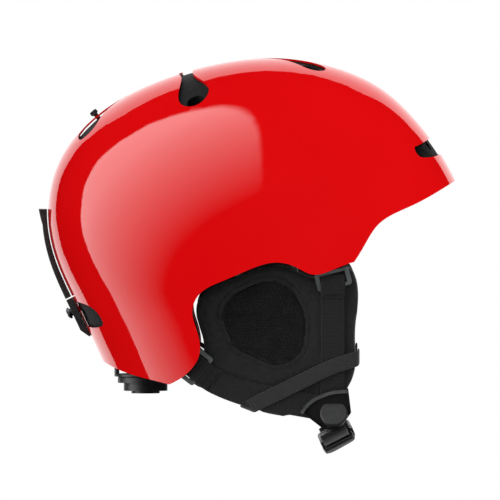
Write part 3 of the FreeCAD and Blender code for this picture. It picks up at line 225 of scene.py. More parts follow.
# %% Woven and knitted fabrics
def woven(name, dark, light, pitch, sheen=0.25, on_band=True):
    """Webbing, elastic or thread: ribs across the band, crossed by finer threads.

    The band's own coordinates, across and along, come from its "weave" attribute; thread
    has none, and takes its place in the helmet instead.
    """
    material, tree, shader, place = finish_named(name)
    own = place
    if on_band:
        own = add(tree, "ShaderNodeAttribute", attribute_name="weave").outputs["Vector"]
    rib_scale = math.pi / (20 * pitch)
    ribs = add(tree, "ShaderNodeTexWave", {"Vector": own}, Scale=rib_scale, Distortion=0.4, Detail=1.0,
               wave_type="BANDS", bands_direction="Y")
    warp = add(tree, "ShaderNodeTexWave", {"Vector": own}, Scale=rib_scale * 1.6, Distortion=0.4,
               Detail=1.0, wave_type="BANDS", bands_direction="X")
    yarn = add(tree, "ShaderNodeTexNoise", {"Vector": place}, Scale=1 / (0.6 * pitch), Detail=2.0)
    cross = add(tree, "ShaderNodeMath", {0: ribs.outputs["Fac"], 1: warp.outputs["Fac"]},
                operation="MULTIPLY")
    relief = add(tree, "ShaderNodeMath", {0: cross.outputs["Value"], 1: yarn.outputs["Fac"]},
                 operation="ADD")
    ramp = add(tree, "ShaderNodeValToRGB", {"Fac": relief.outputs["Value"]})
    ramp.color_ramp.elements[0].position = 0.3
    ramp.color_ramp.elements[1].position = 1.0
    ramp.color_ramp.elements[0].color = linear(dark)
    ramp.color_ramp.elements[1].color = linear(light)
    tree.links.new(ramp.outputs["Color"], shader.inputs["Base Color"])
    set_shader(shader, Roughness=0.85, Sheen_Weight=sheen, Sheen_Roughness=0.4)
    tree.links.new(bumped(tree, relief.outputs["Value"], 0.5, 0.3 * MM), shader.inputs["Normal"])
    return material


def tricot(name, dark, light, pitch, sheen=0.3):
    """Brushed knit over foam: small soft loops, lighter where light grazes it."""
    material, tree, shader, place = finish_named(name)
    loops = add(tree, "ShaderNodeTexVoronoi", {"Vector": place}, Scale=1 / pitch)
    fuzz = add(tree, "ShaderNodeTexNoise", {"Vector": place}, Scale=2 / pitch, Detail=4.0)
    relief = add(tree, "ShaderNodeMath", {0: loops.outputs["Distance"], 1: fuzz.outputs["Fac"]},
                 operation="ADD")
    tree.links.new(mottled(tree, place, dark, light, 1 / (3 * pitch)), shader.inputs["Base Color"])
    set_shader(shader, Roughness=0.95, Sheen_Weight=sheen, Sheen_Roughness=0.5)
    tree.links.new(bumped(tree, relief.outputs["Value"], 0.45, 0.3 * MM), shader.inputs["Normal"])
    return material


WEBBING = woven("black_polyester_webbing", "#101010", "#1F1F1F", 1.3 * MM)
ELASTIC_KNIT = woven("dark_grey_elastic_braid", "#202020", "#313131", 1.1 * MM)
THREAD = woven("black_polyester_thread", "#0C0C0C", "#1C1C1C", 0.5 * MM, sheen=0.1, on_band=False)
PAD_TRICOT = tricot("black_tricot_on_foam", "#151515", "#1E1E1E", 1.0 * MM, 0.2)
COMFORT_TRICOT = tricot("charcoal_tricot_comfort_pad", "#191A1B", "#262729", 1.4 * MM)
print("woven finishes ready")

# %% [markdown]
# ## Finishes on the CAD pieces
# The hard pieces keep their CAD shape. Most of them get a small rounding of their edges from a bevel
# modifier, because a moulding never has a knife edge and the rounding catches the light.

# %% Dress the CAD pieces
def dress(name, material, rounding=0.0):
    """Give a CAD node its finish and, if asked, rounded edges."""
    node = nodes[name]
    if not node.material_slots:
        node.data.materials.append(material)
    for place in node.material_slots:
        place.material = material
    if rounding:
        weld = node.modifiers.new("join corners", "WELD")
        weld.merge_threshold = 0.002 * MM
        soften = node.modifiers.new("rounded edges", "BEVEL")
        soften.width = rounding
        soften.segments = 2
        soften.limit_method = "ANGLE"
        soften.angle_limit = math.radians(35)
        node.modifiers.new("even shading", "WEIGHTED_NORMAL")


SIDES = {"right": -1, "left": 1}
dress("shell", SHELL_RED)
dress("eps_liner", LINER_FOAM)
dress("vent_shutter", FACE_NYLON, 0.2 * MM)
dress("slider_knob", FACE_NYLON, 0.15 * MM)
dress("shutter_rail", BLACK_NYLON, 0.2 * MM)
dress("goggle_clip", FACE_NYLON, 0.5 * MM)
dress("clip_foot", FACE_NYLON, 0.5 * MM)
dress("clip_rivet", RIVET_STEEL, 0.2 * MM)
dress("dial_housing", BLACK_NYLON, 0.4 * MM)
dress("dial_cover", BLACK_NYLON, 0.2 * MM)
dress("dial_knob", BLACK_NYLON, 0.3 * MM)
dress("dial_pinion", GREY_ACETAL)
dress("buckle_socket", BLACK_NYLON, 0.4 * MM)
dress("buckle_tongue", BLACK_NYLON, 0.3 * MM)
for name in SIDES:
    dress("fit_arm_" + name, BLACK_NYLON, 0.15 * MM)
    dress("front_anchor_" + name, GREY_ACETAL, 0.4 * MM)
    dress("rear_anchor_" + name, GREY_ACETAL, 0.4 * MM)
    dress("pad_studs_" + name, GREY_ACETAL, 0.2 * MM)
    dress("strap_divider_" + name, BLACK_NYLON, 0.4 * MM)
    dress("divider_cap_" + name, FACE_NYLON)
print("dressed the CAD pieces")

# %% [markdown]
# ## Drawing on the ear pads
# Straps, mesh and pads lie on two planes that lean in towards the jaw. Places on them are
# easiest to give as they are drawn there: x forwards, z upwards, and out from the pad's face.

# %% The leaning planes of the ear pads
PAD_FACE = 98 * MM
PAD_TILT = math.radians(7.5)
LEAN_HEIGHT = 25 * MM


def pad_plane(side):
    pivot = Matrix.Translation((0, side * PAD_FACE, LEAN_HEIGHT))
    tilt = Matrix.Rotation(-side * PAD_TILT, 4, "X")
    return pivot @ tilt @ Matrix.Translation((0, 0, -LEAN_HEIGHT))


def on_pad(side, x, z, out):
    """A place on a pad, in millimetres on its plane, as a point of the helmet."""
    return pad_plane(side) @ (Vector((x, side * out, z)) * MM)


def pad_outwards(side):
    return pad_plane(side).to_3x3() @ Vector((0, side, 0))


def smooth_line(points, steps=8):
    """More points on a smooth curve through the given ones."""
    points = [Vector(p) for p in points]
    ends = [2 * points[0] - points[1]] + points + [2 * points[-1] - points[-2]]
    line = []
    for a, b, c, d in zip(ends, ends[1:], ends[2:], ends[3:]):
        for i in range(steps):
            t = i / steps
            line.append(0.5 * (2 * b + (c - a) * t + (2 * a - 5 * b + 4 * c - d) * t ** 2
                               + (3 * b - a - 3 * c + d) * t ** 3))
    return line + [points[-1]]


print("right pad face leans to", [round(v, 2) for v in pad_outwards(-1)])

# %% [markdown]
# ## Straps
# A strap is a flat band with rounded edges, swept along a line. It carries its own
# coordinates, across and along, so that the weave follows every bend.

# %% Sweep a band
def new_piece(name, verts, faces, material, body="root"):
    mesh = bpy.data.meshes.new(name)
    mesh.from_pydata([tuple(v) for v in verts], [], faces)
    mesh.validate()
    mesh.materials.append(material)
    mesh.shade_smooth()
    piece = bpy.data.objects.new(name, mesh)
    bpy.context.collection.objects.link(piece)
    if body:
        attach(piece, body)
    return piece


SELVEDGE = (0.68, 0.32)           # a band's edge is flat between these shares of its thickness


def band_section(width, thickness):
    """Points round a flat band's section: across, out."""
    half = width / 2
    soft = thickness * 0.55
    flat = [-half + soft, -half * 0.86, -half * 0.5, 0.0, half * 0.5, half * 0.86, half - soft]
    high, low = [thickness * share for share in SELVEDGE]
    over = [(u, thickness) for u in flat] + [(half, high), (half, low)]
    under = [(u, 0.0) for u in reversed(flat)] + [(-half, low), (-half, high)]
    return over + under


def band(name, line, outwards, width, thickness, material, body="root"):
    """A strap along a line; outwards is one direction or one for each point of the line."""
    section = band_section(width, thickness)
    if isinstance(outwards, Vector):
        outwards = [outwards] * len(line)
    verts = []
    weave = []
    run = 0.0
    for i, point in enumerate(line):
        ahead = line[min(i + 1, len(line) - 1)] - line[max(i - 1, 0)]
        ahead.normalize()
        across = ahead.cross(outwards[i]).normalized()
        out = across.cross(ahead).normalized()
        if i:
            run += (point - line[i - 1]).length
        for u, v in section:
            verts.append(point + across * u + out * v)
            weave.append((u, run, v))
    count = len(section)
    faces = []
    for i in range(len(line) - 1):
        for j in range(count):
            k = (j + 1) % count
            faces.append((i * count + j, i * count + k, (i + 1) * count + k, (i + 1) * count + j))
    faces.append(tuple(reversed(range(count))))
    faces.append(tuple(range((len(line) - 1) * count, len(line) * count)))
    piece = new_piece(name, verts, faces, material, body)
    place = piece.data.attributes.new("weave", "FLOAT_VECTOR", "POINT")
    place.data.foreach_set("vector", [c for w in weave for c in w])
    outside = bmesh.new()
    outside.from_mesh(piece.data)
    bmesh.ops.recalc_face_normals(outside, faces=outside.faces)
    outside.to_mesh(piece.data)
    outside.free()
    return piece


def stitches(name, start, end, out, stitch, thread, material, zigzag, body="root"):
    """A row of thread from start to end: straight stitches, or the zigzag of a bar tack."""
    run = end - start
    count = max(2, round(run.length / stitch))
    step = run / count
    across = run.normalized().cross(out).normalized()
    verts = []
    faces = []
    for i in range(count):
        lift = out * thread * 0.25
        swing = across * zigzag * (1 if i % 2 else -1)
        a = start + step * (i + 0.06) - swing + lift
        b = start + step * (i + 0.94) + swing + lift
        heading = (b - a).normalized()
        beside = heading.cross(out).normalized()
        ring = 6
        first = len(verts)
        for t, swell in ((0, 0.35), (0.25, 1.0), (0.75, 1.0), (1, 0.35)):
            middle = a.lerp(b, t)
            for k in range(ring):
                turn = 2 * math.pi * k / ring
                offset = beside * math.cos(turn) + out * math.sin(turn)
                verts.append(middle + offset * thread / 2 * swell)
        for r in range(3):
            for k in range(ring):
                n = (k + 1) % ring
                faces.append((first + r * ring + k, first + r * ring + n,
                              first + (r + 1) * ring + n, first + (r + 1) * ring + k))
        faces.append(tuple(first + k for k in reversed(range(ring))))
        faces.append(tuple(first + 3 * ring + k for k in range(ring)))
    return new_piece(name, verts, faces, material, body)


WEBBING_WIDTH = 17.2 * MM
WEBBING_THICK = 1.5 * MM
WEBBING_LOW = 0.35                # millimetres out from the pad's face
print("a strap section has", len(band_section(WEBBING_WIDTH, WEBBING_THICK)), "points")

# %% [markdown]
# ### Webbing on the ear pads
# The front strap runs straight down from its anchor; the rear one sweeps forwards along
# the pad's lower edge. Each is folded back through its anchor and closed with a bar tack,
# so a second layer and a dense line of thread show below the anchor.

# %% Front and rear straps
FRONT_LINE = [(54.3, 21.0), (54.3, 8.0), (54.4, -12.0), (54.4, -34.0), (54.2, -52.0), (54.0, -66.0)]
REAR_LINE = [(-45.5, -41.5), (-37.0, -49.0), (-27.0, -56.0), (-8.0, -63.6), (14.0, -68.4),
             (36.0, -72.4), (43.4, -73.8)]
FOLD_THICK = 0.6 * MM
FOLD_WIDTH = WEBBING_WIDTH * 0.98
TACK_STITCH = 0.8 * MM
TACK_THREAD = 0.55 * MM
TACK_SWING = 0.7 * MM             # the zigzag reaches this far each way
# the folded end: under its anchor's upper bar, over the lower one, then down to the strap
FOLDS = [
    ("front", [(54.3, 20.2, 3.4), (54.3, 18.0, 4.6), (54.3, 15.1, 5.2), (54.3, 10.4, 5.2),
               (54.3, 7.8, 3.6), (54.3, 6.0, 2.2), (54.3, 3.2, 1.9)],
     ((47.0, 6.0, 2.9), (61.6, 6.0, 2.9))),
    ("rear", [(-43.6, -42.9, 3.4), (-41.9, -44.3, 4.6), (-40.2, -45.6, 5.2), (-36.2, -48.8, 5.2),
              (-34.2, -50.4, 3.6), (-32.4, -51.9, 2.2), (-28.6, -55.0, 1.9)],
     ((-26.9, -48.9, 2.5), (-33.6, -60.6, 2.5)))]
for name, side in SIDES.items():
    out = pad_outwards(side)
    front = band("front_webbing_" + name,
                 smooth_line([on_pad(side, x, z, WEBBING_LOW) for x, z in FRONT_LINE], 6),
                 out, WEBBING_WIDTH, WEBBING_THICK, WEBBING)
    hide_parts("front_strap_" + name)
    rear = band("rear_webbing_" + name,
                smooth_line([on_pad(side, x, z, WEBBING_LOW) for x, z in REAR_LINE], 6),
                out, WEBBING_WIDTH, WEBBING_THICK, WEBBING)
    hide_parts("rear_strap_" + name)
    for label, places, (tack_from, tack_to) in FOLDS:
        line = smooth_line([on_pad(side, *place) for place in places], 5)
        fold = band(label + "_fold_" + name, line, out, FOLD_WIDTH, FOLD_THICK, WEBBING)
        tack = stitches(label + "_bar_tack_" + name, on_pad(side, *tack_from), on_pad(side, *tack_to),
                        out, TACK_STITCH, TACK_THREAD, THREAD, TACK_SWING)
print("webbing on both sides")

# %% [markdown]
# ### The elastic band
# A knitted elastic holds the pad to the straps. It bows a little, because it is stretched
# over the webbing, and it wraps round the pad's edges to the inside.

# %% Elastic bands
ELASTIC_WIDTH = 10.4 * MM
ELASTIC_THICK = 1.1 * MM
ELASTIC_LINE = [(-5.2, -75.4, -9.0), (-5.0, -75.0, -3.0), (-2.0, -72.4, 1.3), (5.0, -68.6, 2.3),
                (13.6, -64.4, 2.5), (32.6, -54.9, 2.7), (51.6, -45.7, 2.7), (63.0, -41.6, 2.5),
                (69.6, -39.7, 1.5), (71.7, -39.0, -3.0), (71.6, -38.9, -9.0)]
for name, side in SIDES.items():
    line = smooth_line([on_pad(side, *place) for place in ELASTIC_LINE], 8)
    out = pad_outwards(side)
    fore = (on_pad(side, 1, 0, 0) - on_pad(side, 0, 0, 0)).normalized()
    down = (on_pad(side, 0, -1, 0) - on_pad(side, 0, 0, 0)).normalized()
    facing = []
    for i in range(len(line)):
        ahead = (line[min(i + 1, len(line) - 1)] - line[max(i - 1, 0)]).normalized()
        turn = (fore if i > len(line) / 2 else -fore * 0.4 + down)
        flat = out - ahead * out.dot(ahead)
        edge = turn - ahead * turn.dot(ahead)
        share = min(1.0, flat.length)
        facing.append((flat * share + edge * (1 - share)).normalized())
    elastic = band("elastic_" + name, line, facing, ELASTIC_WIDTH, ELASTIC_THICK, ELASTIC_KNIT)
    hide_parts("elastic_band_" + name)
print("elastic bands wrapped")

# %% [markdown]
# ## Stuffed pads
# A pad is foam in a sewn cover. Its CAD solid gives the place and the size; remeshing it
# into even quads and inflating it as cloth gives the tight, rounded look of a filled cover.
# The swelling is capped, so each pad stays in the space that it holds.

# %% Inflate a pad from its CAD solid
def applied(piece):
    """Replace a piece's mesh with the result of its modifiers."""
    depsgraph = bpy.context.evaluated_depsgraph_get()
    mesh = bpy.data.meshes.new_from_object(piece.evaluated_get(depsgraph))
    piece.modifiers.clear()
    piece.data = mesh


def remeshed(name, node, voxel):
    piece = bpy.data.objects.new(name, nodes[node].data.copy())
    bpy.context.collection.objects.link(piece)
    weld = piece.modifiers.new("join", "WELD")
    weld.merge_threshold = 0.01 * MM
    grid = piece.modifiers.new("even quads", "REMESH")
    grid.mode = "VOXEL"
    grid.voxel_size = voxel
    even = piece.modifiers.new("even out", "SMOOTH")
    even.iterations = 4
    even.factor = 0.5
    applied(piece)
    return piece


def inflate(piece, shrink, pressure, cap):
    """Draw the cover in, blow it up as cloth, and cap how far each point may go."""
    mesh = piece.data
    start = [v.co - v.normal * shrink for v in mesh.vertices]
    for vertex, place in zip(mesh.vertices, start):
        vertex.co = place
    cloth = piece.modifiers.new("cover", "CLOTH")
    cover = cloth.settings
    cover.quality = 4
    cover.mass = 0.2
    cover.tension_stiffness = 12
    cover.compression_stiffness = 12
    cover.bending_stiffness = 0.6
    cover.use_pressure = True
    cover.uniform_pressure_force = pressure
    cover.effector_weights.gravity = 0
    cloth.collision_settings.use_collision = False
    cloth.point_cache.frame_start = 1
    cloth.point_cache.frame_end = 20
    for frame_number in range(1, 21):
        bpy.context.scene.frame_set(frame_number)
    applied(piece)
    bpy.context.scene.frame_set(1)
    for vertex, place in zip(piece.data.vertices, start):
        move = vertex.co - place
        if move.length > cap:
            vertex.co = place + move * (cap / move.length)


def padded_piece(name, node, voxel, material, shrink=1.0 * MM, pressure=4.0, cap=1.6 * MM,
                 shape=None):
    """The whole recipe; shape is a function that presses seams or flats into the pad."""
    piece = remeshed(name, node, voxel)
    inflate(piece, shrink, pressure, cap)
    if shape:
        shape(piece.data)
    piece.data.materials.clear()
    piece.data.materials.append(material)
    piece.data.shade_smooth()
    finer = piece.modifiers.new("smooth cover", "SUBSURF")
    finer.levels = 1
    finer.render_levels = 1
    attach(piece, "root")
    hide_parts(node)
    return piece


PRESS_REACH = 2.5                 # a seam presses nothing beyond this many of its widths


def press(mesh, groove, depth, width):
    """Press a seam: groove gives each point's distance from the seam line."""
    mesh.update()
    for vertex in mesh.vertices:
        near = groove(vertex.co) / width
        if near < PRESS_REACH:
            vertex.co = vertex.co - vertex.normal * depth * math.exp(-near * near)


# %% [markdown]
# ### Ear pads
# The outer face is pressed flat where the straps cross it, and a seam runs round the sound
# opening. The opening's oval is the same line that the mesh insert fills.

# %% Ear pads
MESH_OVAL = [(-21.8, -11.0), (-17.6, 0.8), (-5.5, 8.8), (11.0, 13.8), (25.0, 6.8), (32.4, -8.0),
             (33.0, -23.0), (28.6, -36.0), (15.0, -42.6), (1.0, -37.6), (-16.2, -27.6)]


def closed_oval(grow, steps=8):
    """The oval, moved outwards by grow millimetres, as a smooth closed line of (x, z)."""
    cx = sum(p[0] for p in MESH_OVAL) / len(MESH_OVAL)
    cz = sum(p[1] for p in MESH_OVAL) / len(MESH_OVAL)
    ring = []
    for x, z in MESH_OVAL:
        stretch = 1 + grow / math.hypot(x - cx, z - cz)
        ring.append(Vector((cx + (x - cx) * stretch, 0, cz + (z - cz) * stretch)))
    loop = smooth_line(ring[-2:] + ring + ring[:2], steps)
    return [(p.x, p.z) for p in loop[2 * steps:-2 * steps - 1]]


SEAM_OUT = 4.6                    # the seam lies this far outside the oval, in millimetres
SEAM_PRESS = 0.9                  # the seam's depth in millimetres
SEAM_SOFT = 1.6                   # and how fast it fades to each side
SEAM_THREAD_OUT = -0.75           # its thread lies in the groove
FRONT_DEPTH = 6.0                 # only the pad's outer part has the seam
PAD_CLEAR = 0.15                  # the pad stays this far under the straps
seam_line = closed_oval(SEAM_OUT)


def shape_ear_pad(side):
    inverse = pad_plane(side).inverted()

    def shape(mesh):
        for vertex in mesh.vertices:
            local = inverse @ vertex.co / MM
            out = local.y * side
            if out > -PAD_CLEAR:
                local.y = -PAD_CLEAR * side
                vertex.co = pad_plane(side) @ (local * MM)
        mesh.update()
        for vertex in mesh.vertices:
            local = inverse @ vertex.co / MM
            if local.y * side > -FRONT_DEPTH:
                near = min(math.hypot(local.x - x, local.z - z) for x, z in seam_line)
                fade = math.exp(-(near / SEAM_SOFT) ** 2)
                vertex.co = vertex.co - pad_outwards(side) * SEAM_PRESS * MM * fade
    return shape


for name, side in SIDES.items():
    pad = padded_piece("ear_cushion_" + name, "ear_pad_" + name, 2.6 * MM, PAD_TRICOT,
                       shrink=0.6 * MM, pressure=3.0, cap=1.2 * MM, shape=shape_ear_pad(side))
    out = pad_outwards(side)
    ring = [on_pad(side, x, z, SEAM_THREAD_OUT) for x, z in closed_oval(SEAM_OUT, 6)]
    rows = [stitches("seam_%s_%02d" % (name, i), a, b, out, 2.4 * MM, 0.5 * MM, THREAD, 0.0, None)
            for i, (a, b) in enumerate(zip(ring, ring[1:] + ring[:1]))]
    seam = rows[0]
    joined = bmesh.new()
    for row in rows:
        joined.from_mesh(row.data)
    joined.to_mesh(seam.data)
    joined.free()
    for row in rows[1:]:
        bpy.data.objects.remove(row)
    seam.name = "ear_seam_" + name
    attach(seam, "root")
    print("ear pad", name, len(pad.data.vertices), "points")

# %% [markdown]
# ### Sound mesh
# The insert is a moulded net of diamond holes about two millimetres apart. It is made as
# real bars: a lattice of diamonds cut to the oval, thickened with the wireframe modifier.

# %% Sound mesh
DIAMOND = 1.9                     # millimetres from one hole to the next
BAR = 0.75 * MM
MESH_OUT = -0.9
NET_MIDDLE = (5.6, -14)           # the net bulges most here, and is flat this far away
NET_HALF = (28, 29)
NET_BULGE = 0.6
NET_LEAST = -0.4


def inside(x, z, outline):
    """Whether a place lies within a closed outline."""
    crossings = 0
    for (x0, z0), (x1, z1) in zip(outline, outline[1:] + outline[:1]):
        if (z0 > z) != (z1 > z) and x < x0 + (x1 - x0) * (z - z0) / (z1 - z0):
            crossings += 1
    return crossings % 2 == 1


def lattice(side):
    outline = closed_oval(0.4)
    half = DIAMOND / 2
    verts = []
    known = {}
    faces = []

    def corner(i, j):
        if (i, j) not in known:
            known[(i, j)] = len(verts)
            x, z = i * half, j * half
            away = ((x - NET_MIDDLE[0]) / NET_HALF[0], (z - NET_MIDDLE[1]) / NET_HALF[1])
            bulge = NET_BULGE * (1 - away[0] ** 2 - away[1] ** 2)
            verts.append(on_pad(side, x, z, MESH_OUT + max(NET_LEAST, bulge) * NET_BULGE))
        return known[(i, j)]

    for i in range(-26, 38):
        for j in range(-48, 18):
            if (i + j) % 2 == 0 and inside((i + 1) * half, j * half, outline):
                face = [corner(i, j), corner(i + 1, j - 1), corner(i + 2, j), corner(i + 1, j + 1)]
                faces.append(face if side < 0 else face[::-1])
    return verts, faces


for name, side in SIDES.items():
    verts, faces = lattice(side)
    net = new_piece("sound_mesh_" + name, verts, faces, MESH_PLASTIC)
    bars = net.modifiers.new("bars", "WIREFRAME")
    bars.thickness = BAR
    bars.use_boundary = True
    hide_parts("ear_mesh_" + name)
    print("sound mesh", name, len(faces), "holes")

# %% [markdown]
# ### Ear pad linings
# Behind the net the pad's inner side is closed by a thin knit, stretched over the opening,
# that lets sound through. It also keeps the far side of the helmet out of sight.

# %% Linings
LINING_OUT = -12.5
LINING_RINGS = 6
LINING_SAG = 0.8
for name, side in SIDES.items():
    edge_line = closed_oval(1.2, 4)
    cx = sum(p[0] for p in edge_line) / len(edge_line)
    cz = sum(p[1] for p in edge_line) / len(edge_line)
    verts = [on_pad(side, cx, cz, LINING_OUT + LINING_SAG)]
    faces = []
    count = len(edge_line)
    for ring in range(1, LINING_RINGS + 1):
        share = ring / LINING_RINGS
        for x, z in edge_line:
            sag = LINING_SAG * (1 - share ** 2)
            verts.append(on_pad(side, cx + (x - cx) * share, cz + (z - cz) * share, LINING_OUT + sag))
        for k in range(count):
            here = 1 + (ring - 1) * count + k
            beside = 1 + (ring - 1) * count + (k + 1) % count
            if ring == 1:
                faces.append((0, here, beside))
            else:
                faces.append((here - count, here, beside, beside - count))
    lining = new_piece("ear_lining_" + name, verts, faces, PAD_TRICOT)
    body = lining.modifiers.new("cloth", "SOLIDIFY")
    body.thickness = 0.6 * MM
    around = zip(edge_line, edge_line[1:] + edge_line[:1])
    area = sum((a[0] * b[1] - b[0] * a[1]) / 2 for a, b in around)

# %% [markdown]
# ### Comfort pads and chin sleeve
# The pads that touch the head are softer and seamed across, so that they bend with it.
# Each seam is pressed in after the pad is stuffed.

# %% Comfort pads
def seams_at(axis, places, depth=1.3 * MM, width=1.8 * MM):
    """Straight seams across a pad at the given places along an axis."""
    def shape(mesh):
        press(mesh, lambda p: min(abs(p[axis] - place * MM) for place in places), depth, width)
    return shape


def crown_seams(mesh):
    """Seams where the crown pad's cross bar leaves its long bar."""
    press(mesh, lambda p: min(abs(abs(p.y) - 16 * MM), abs(abs(p.x + 5 * MM) - 24 * MM)),
          1.2 * MM, 1.8 * MM)


padded_piece("brow_cushion", "brow_pad", 2.4 * MM, COMFORT_TRICOT,
             shape=seams_at(1, (-32, -11, 11, 32)))
padded_piece("crown_cushion", "crown_pad", 2.4 * MM, COMFORT_TRICOT,
             shape=crown_seams)
padded_piece("nape_cushion", "nape_pad", 2.4 * MM, COMFORT_TRICOT,
             shape=seams_at(2, (18, 33, 48)))
for name in SIDES:
    padded_piece("temple_cushion_" + name, "temple_pad_" + name, 2.4 * MM, COMFORT_TRICOT,
                 shape=seams_at(0, (-18, 8)))
padded_piece("chin_cushion", "chin_sleeve", 2.0 * MM, PAD_TRICOT,
             shrink=0.6 * MM, cap=1.0 * MM)
print("comfort pads stuffed")

# %% [markdown]
# ## Chin strap
# The chin strap hangs from the right divider, runs level under the chin and ends in the
# buckle's tongue. When the buckle opens the tongue slides away and the soft strap follows it;
# here the band is only swept in place and attached to no part.

# %% Chin strap and buckle strap
CHIN_SLOPE = math.radians(-27)
CHIN_WIDTH = 19 * MM
CHIN_THICK = 2 * MM
chin_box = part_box("chin_strap")
CHIN_MIDDLE = Vector((59.0, 0, -99.5)) * MM
chin_plane = Matrix.Translation(CHIN_MIDDLE) @ Matrix.Rotation(CHIN_SLOPE, 4, "Y")
CHIN_REACH = 83.3
SHOULDER = 71.6
SAG = 5.46


def chin_place(y, z=None):
    """A place on the chin strap's middle line; the level stretch sags in a parabola."""
    height = SAG * (y / SHOULDER) ** 2 if z is None else z
    return chin_plane @ (Vector((0, y, height)) * MM)


def chin_band(name, places, material, body):
    line = smooth_line([chin_place(*place) for place in places], 6)
    side = (chin_plane.to_3x3() @ Vector((1, 0, 0))).normalized()
    outwards = []
    shifted = []
    for i, point in enumerate(line):
        ahead = (line[min(i + 1, len(line) - 1)] - line[max(i - 1, 0)]).normalized()
        out = ahead.cross(side).normalized()
        if out.z > 0:
            out = -out
        outwards.append(out)
        shifted.append(point - out * CHIN_THICK / 2)
    return band(name, shifted, outwards, CHIN_WIDTH, CHIN_THICK, material, body)


HANG_END = (0.98 * CHIN_REACH, 11.2)
HANG_BEND = (0.95 * CHIN_REACH, 8.6)
TONGUE_BAR = 27.9                 # the webbing ends here, round the tongue's bar
LEVEL = (-SHOULDER, -60.9, -50.1, -35.8, -17.9, 0, 14.2, TONGUE_BAR)
chin_line = [(-HANG_END[0], HANG_END[1]), (-HANG_BEND[0], HANG_BEND[1])] + [(y,) for y in LEVEL]
chin = chin_band("chin_webbing", chin_line, WEBBING, None)
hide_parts("chin_strap")
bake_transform(chin)
short = chin_band("buckle_webbing", [(70.1, 5.3), (75.0, 6.5), HANG_BEND, HANG_END], WEBBING, "root")
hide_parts("buckle_strap")
print("chin strap", round((chin_box[1][1] - chin_box[0][1]) * 1000), "mm across")

# %% [markdown]
# ### Divider rims
# The strap divider has a raised grey rim along its curved upper edge. It is swept as a
# thin moulding on top of the CAD fan.

# %% Divider rims
FAN_ARC = [(32.3, -76.2), (37.4, -69.6), (44.7, -64.9), (54.2, -61.6), (64.8, -60.7)]
RIM_WIDTH = 2.7 * MM
RIM_THICK = 0.7 * MM
RIM_DROP = 1.1                    # its middle runs this far below the fan's edge
RIM_OUT = 5.15
for name, side in SIDES.items():
    line = smooth_line([on_pad(side, x, z - RIM_DROP, RIM_OUT) for x, z in FAN_ARC], 6)
    rim = band("divider_rim_" + name, line, pad_outwards(side), RIM_WIDTH, RIM_THICK, RIM_RUBBER)
dress("strap_keeper", KEEPER_RUBBER, 0.4 * MM)
print("divider rims swept")

# %% [markdown]
# ## The studio
# A glossy shell shows what stands round it, so the room matters as much as the finish. The
# floor and the backdrop are pale but light nothing and stay out of reflections; an unseen light tent
# round everything lights the helmet softly.
# Two big white screens are there for the gloss alone. One curves round the back left of
# the camera and over the shell, bright at its far edge and fading towards the camera: it
# draws the broad highlight. The other stands behind, and draws the thin white line that
# grazes the crown and the nape.

# %% Floor and backdrop
def glowing_paper(name, strength):
    material = bpy.data.materials.new(name)
    material.use_nodes = True
    tree = material.node_tree
    tree.nodes.clear()
    paper = add(tree, "ShaderNodeEmission", Color=(1, 1, 1, 1), Strength=strength)
    add(tree, "ShaderNodeOutputMaterial", {"Surface": paper.outputs["Emission"]})
    return material, tree, paper


FLOOR_DROP = 25 * MM
BACKDROP_RADIUS = 12
TENT_RADIUS = 11
TENT_SHADE = (-0.08, 0.0, -0.14)  # the normal points in: brighter above and in front
TENT_LEVEL = 0.84
floor_height = cad_box[0][2] - FLOOR_DROP
bpy.ops.mesh.primitive_circle_add(vertices=96, radius=0.9, fill_type="NGON",
                                  location=(0, 0, floor_height))
floor = bpy.context.object
floor.name = "studio_floor"
floor.data.materials.append(glowing_paper("pale_floor_paper", 1.0)[0])
floor.visible_diffuse = False
bpy.ops.mesh.primitive_uv_sphere_add(segments=48, ring_count=24, radius=BACKDROP_RADIUS)
backdrop = bpy.context.object
backdrop.name = "studio_backdrop"
backdrop.data.materials.append(glowing_paper("pale_backdrop_paper", 1.0)[0])
backdrop.visible_diffuse = False
bpy.ops.mesh.primitive_uv_sphere_add(segments=48, ring_count=24, radius=TENT_RADIUS)
light_tent = bpy.context.object
light_tent.name = "light_tent"
material, tree, paper = glowing_paper("light_tent_paper", 1.0)
way = add(tree, "ShaderNodeVectorMath", {0: add(tree, "ShaderNodeTexCoord").outputs["Normal"]},
          operation="DOT_PRODUCT")
way.inputs[1].default_value = TENT_SHADE
level = add(tree, "ShaderNodeMath", {0: way.outputs["Value"]}, operation="ADD")
level.inputs[1].default_value = TENT_LEVEL
tree.links.new(level.outputs["Value"], paper.inputs["Strength"])
light_tent.data.materials.append(material)
light_tent.visible_camera = False
for paper_wall in (floor, backdrop, light_tent):
    paper_wall.visible_glossy = False
    paper_wall.visible_shadow = False
print("floor at", round(floor_height * 1000), "mm")


# %% Reflecting screens
SCREEN_RADIUS = 3.0
SCREEN_EDGE = (0.07, 0.13, 0.0)   # its right and its near edge, as a direction
SCREEN_CORNER = 0.055             # how far the screen's upper corner is rounded
SCREEN_GLOW_WAY = (-3.3, 3.4, 3.3)
SCREEN_GLOW_BASE = 1.4
SCREEN_GLOW_MOST = 5.0
bpy.ops.mesh.primitive_uv_sphere_add(segments=64, ring_count=32, radius=SCREEN_RADIUS)
side_screen = bpy.context.object
side_screen.name = "side_screen"
material, tree, paper = glowing_paper("side_screen_paper", 1.0)
place = add(tree, "ShaderNodeTexCoord").outputs["Object"]
way = add(tree, "ShaderNodeVectorMath", {0: place}, operation="NORMALIZE")
from_corner = add(tree, "ShaderNodeVectorMath", {0: way.outputs["Vector"]}, operation="SUBTRACT")
from_corner.inputs[1].default_value = SCREEN_EDGE
part = add(tree, "ShaderNodeSeparateXYZ", {"Vector": from_corner.outputs["Vector"]})
